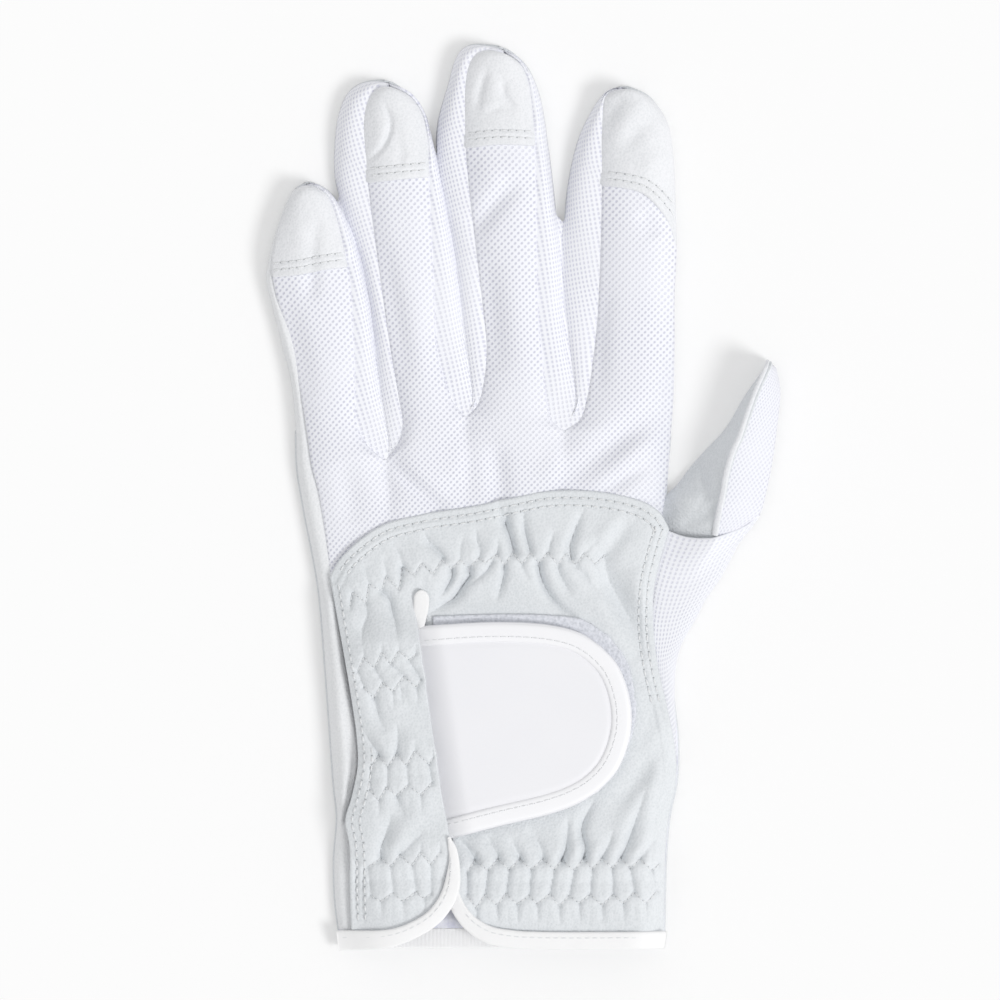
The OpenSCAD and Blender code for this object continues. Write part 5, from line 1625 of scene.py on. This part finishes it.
# Wrist panel with its tapes and elastic
KNUCKLE_SPAN, ROW_SPAN = 2.2, 3.0
KNUCKLE_FIRST = 8
wrist_cloth, flap_side, thumb_side = wrist_panel()
flap_trim, flap_top = flap_tape(flap_side)
cuff_trim, cuff_top = cuff_tape(thumb_side)
tongue, _ = slit_tongue(thumb_side)
trims = [flap_trim, cuff_trim, tongue]
for trim, nodes in zip(trims, (["flap_binding"], ["slit_binding"], [])):
    attach(trim, "hand", nodes)
for name, rows, surface, span in (
    ("knuckle_elastic", [KNUCKLE_ZIGZAG[KNUCKLE_FIRST:]], thumb_side, KNUCKLE_SPAN),
    ("side_elastic_upper", FLAP_ZIGZAGS[0], flap_side, ROW_SPAN),
    ("side_elastic_lower", FLAP_ZIGZAGS[1], flap_side, ROW_SPAN),
    ("cuff_elastic_little", FLAP_ZIGZAGS[2], flap_side, ROW_SPAN),
    ("cuff_elastic_thumb", CUFF_ZIGZAGS, thumb_side, ROW_SPAN),
):
    strip = elastic(f"{name}_band", rows, surface, span)
    attach(strip.object, "hand", [name])
    trims.append(strip.object)
add_sheet(wrist_cloth, "hand", ["wrist_panel"])

# Stitches along the panel's edges. The inner row beside the little finger starts lower than the outer one.
LINE_POINTS = 200
THUMB_LINE_END = 130
LEFT_LINE_STARTS, LEFT_LINE_END = (4, 96), 196
ARCH_LINE_START = 4
TAPE_ROW, TAPE_LINE_POINTS, TAPE_LINE_ENDS = 0.8, 120, slice(12, -2)
edge_line = np.vstack([arch, panel_right[1:]])
left_line = outline(PANEL_LEFT, LINE_POINTS)
hem_threads = []
for row, left_start in zip(HEM_STITCH_ROWS, LEFT_LINE_STARTS):
    thumb_line = spaced(offset(edge_line[ARCH_LITTLE_POINTS:], -row), LINE_POINTS)
    hem_lines = (
        (offset(arch[:ARCH_LITTLE_POINTS], -row)[ARCH_LINE_START:], flap_side),
        (thumb_line[:THUMB_LINE_END], thumb_side),
        (offset(left_line, row)[left_start:LEFT_LINE_END], flap_side),
    )
    for line, surface in hem_lines:
        hem_threads += thread_row(line, surface, **HEM_THREAD)
for points, surface, inward in ((FLAP_TAPE, flap_top, -TAPE_ROW), (CUFF_TAPE, cuff_top, TAPE_ROW)):
    line = offset(outline(points, TAPE_LINE_POINTS), inward)[TAPE_LINE_ENDS]
    hem_threads += thread_row(line, surface, **TAPE_THREAD)
add_threads("hem_stitches", hem_threads, "hand")

# Zigzag stitches, with the row over the knuckles split where the two sides of the panel meet
split = next(k for k, corner in enumerate(KNUCKLE_ZIGZAG) if corner[0] > DIVIDE[1][0])
zigzags = [(row, thumb_side) for row in (KNUCKLE_ZIGZAG[split:], *CUFF_ZIGZAGS)]
zigzags += [(row, flap_side) for row in (KNUCKLE_ZIGZAG[:split + 1], *sum(FLAP_ZIGZAGS, ()))]
zigzag_threads = []
for row, surface in zigzags:
    zigzag_threads += thread_row(plan(row), surface, **ZIGZAG_THREAD)
add_threads("zigzag_stitches", zigzag_threads, "hand")

# Tab and fastener
loop_cloth = patch("loop_fleece", LOOP_UPPER, LOOP_ROUND, LOOP_LOWER, LOOP_TOP, LOOP_THICK, LOOP_LOOK, nap)
add_sheet(loop_cloth, "hand", ["loop_patch"])
tab_cloth = patch(
    "tab_face_sheet", TAB_UPPER, TAB_ROUND, TAB_LOWER, FACE_TOP, FACE_THICK, TAB_LOOK, tab_relief
)
tab_trim = tab_edge()
attach(tab_trim, TAB_BEND, ["tab_binding"])
add_sheet(tab_cloth, TAB_BEND, ["tab_face", "tab_root"])
add_threads("tab_stitches", tab_stitches(), TAB_BEND)
hook_cloth = patch("hook_bed", HOOK_UPPER, HOOK_ROUND, HOOK_LOWER, HOOK_TOP, HOOK_THICK, HOOK_LOOK, nap)
add_sheet(hook_cloth, "closure_tab", ["tab_hook"])
attach(hook_field(hook_cloth), "closure_tab", ())

# Thumb
add_sheet(thumb_root(), "hand", ["thumb_gusset"])
thumb_cloth = add_sheet(thumb_leather(), THUMB_BEND, ["thumb_palm"], THUMB_CUT)
thumb_back = thumb_mesh()
piping = thumb_piping()
attach(piping, THUMB_BEND, ())
add_sheet(thumb_back, THUMB_BEND, ["thumb_back"])

# Cuff
rib_cloth = cuff_rib()
lining = cuff_lining()
attach(lining.object, "hand", ())
add_sheet(
    rib_cloth, "hand", ["palm_cuff_band"], RIB_CUT
)

# Floor, light and camera
FLOOR_SIDE = 6.0
FLOOR_DROP = 0.05
FLOOR_TONE = 0.97
FLOOR_GLOW = 0.25
WORLD_LIGHT = 0.70
KEY_LIGHT = 1.28
KEY_ANGLE = 20
KEY_FROM = (0.58, -0.31, 0.75)
CAMERA_HEIGHT, CAMERA_REACH = 2.2, 10
WHITE = (1, 1, 1, 1)
bpy.ops.mesh.primitive_plane_add(size=FLOOR_SIDE, location=(0, 0, -FLOOR_DROP * METRE))
floor = bpy.context.object
floor.name = "floor"


def grey(level):
    return (level, level, level, 1)


def seen_directly(finish):
    """1 for rays that come from the camera, a mirror or glass."""
    path = finish.node("LightPath").outputs
    seen = finish.math("MAXIMUM", path["Is Camera Ray"], path["Is Glossy Ray"])
    return finish.math("MAXIMUM", seen, path["Is Transmission Ray"])


floor_finish = Finish("studio_floor", roughness=0.9, specular=0.0)
floor_seen = seen_directly(floor_finish)
floor_finish.tones(floor_seen, grey(FLOOR_TONE), grey(FLOOR_TONE - FLOOR_GLOW))
floor_finish.shader.inputs["Emission Color"].default_value = WHITE
glow = floor_finish.math("MULTIPLY", floor_seen, FLOOR_GLOW)
floor_finish.tree.links.new(glow, floor_finish.shader.inputs["Emission Strength"])
floor.data.materials.append(floor_finish.material)

world = bpy.data.worlds.new("studio")
world.use_nodes = True
bpy.context.scene.world = world
sky = world.node_tree.nodes["Background"]
sky.inputs[0].default_value = WHITE
sky.inputs[1].default_value = WORLD_LIGHT

key_data = bpy.data.lights.new("window", "SUN")
key_data.energy = KEY_LIGHT
key_data.angle = math.radians(KEY_ANGLE)
key = bpy.data.objects.new("window", key_data)
key.rotation_euler = Vector(KEY_FROM).to_track_quat("Z", "Y").to_euler()
bpy.context.scene.collection.objects.link(key)

camera_data = bpy.data.cameras.new("camera")
camera = bpy.data.objects.new("camera", camera_data)
centre = plan((PHOTO_SIDE / 2, PHOTO_SIDE / 2)) * METRE
camera.location = (centre[0], centre[1], CAMERA_HEIGHT)
camera_data.lens = camera_data.sensor_width * (CAMERA_HEIGHT - SEAM * METRE) / (PHOTO_SIDE * PIXEL * METRE)
camera_data.clip_end = CAMERA_REACH
bpy.context.scene.collection.objects.link(camera)
bpy.context.scene.camera = camera
bpy.context.scene.view_settings.view_transform = "Standard"
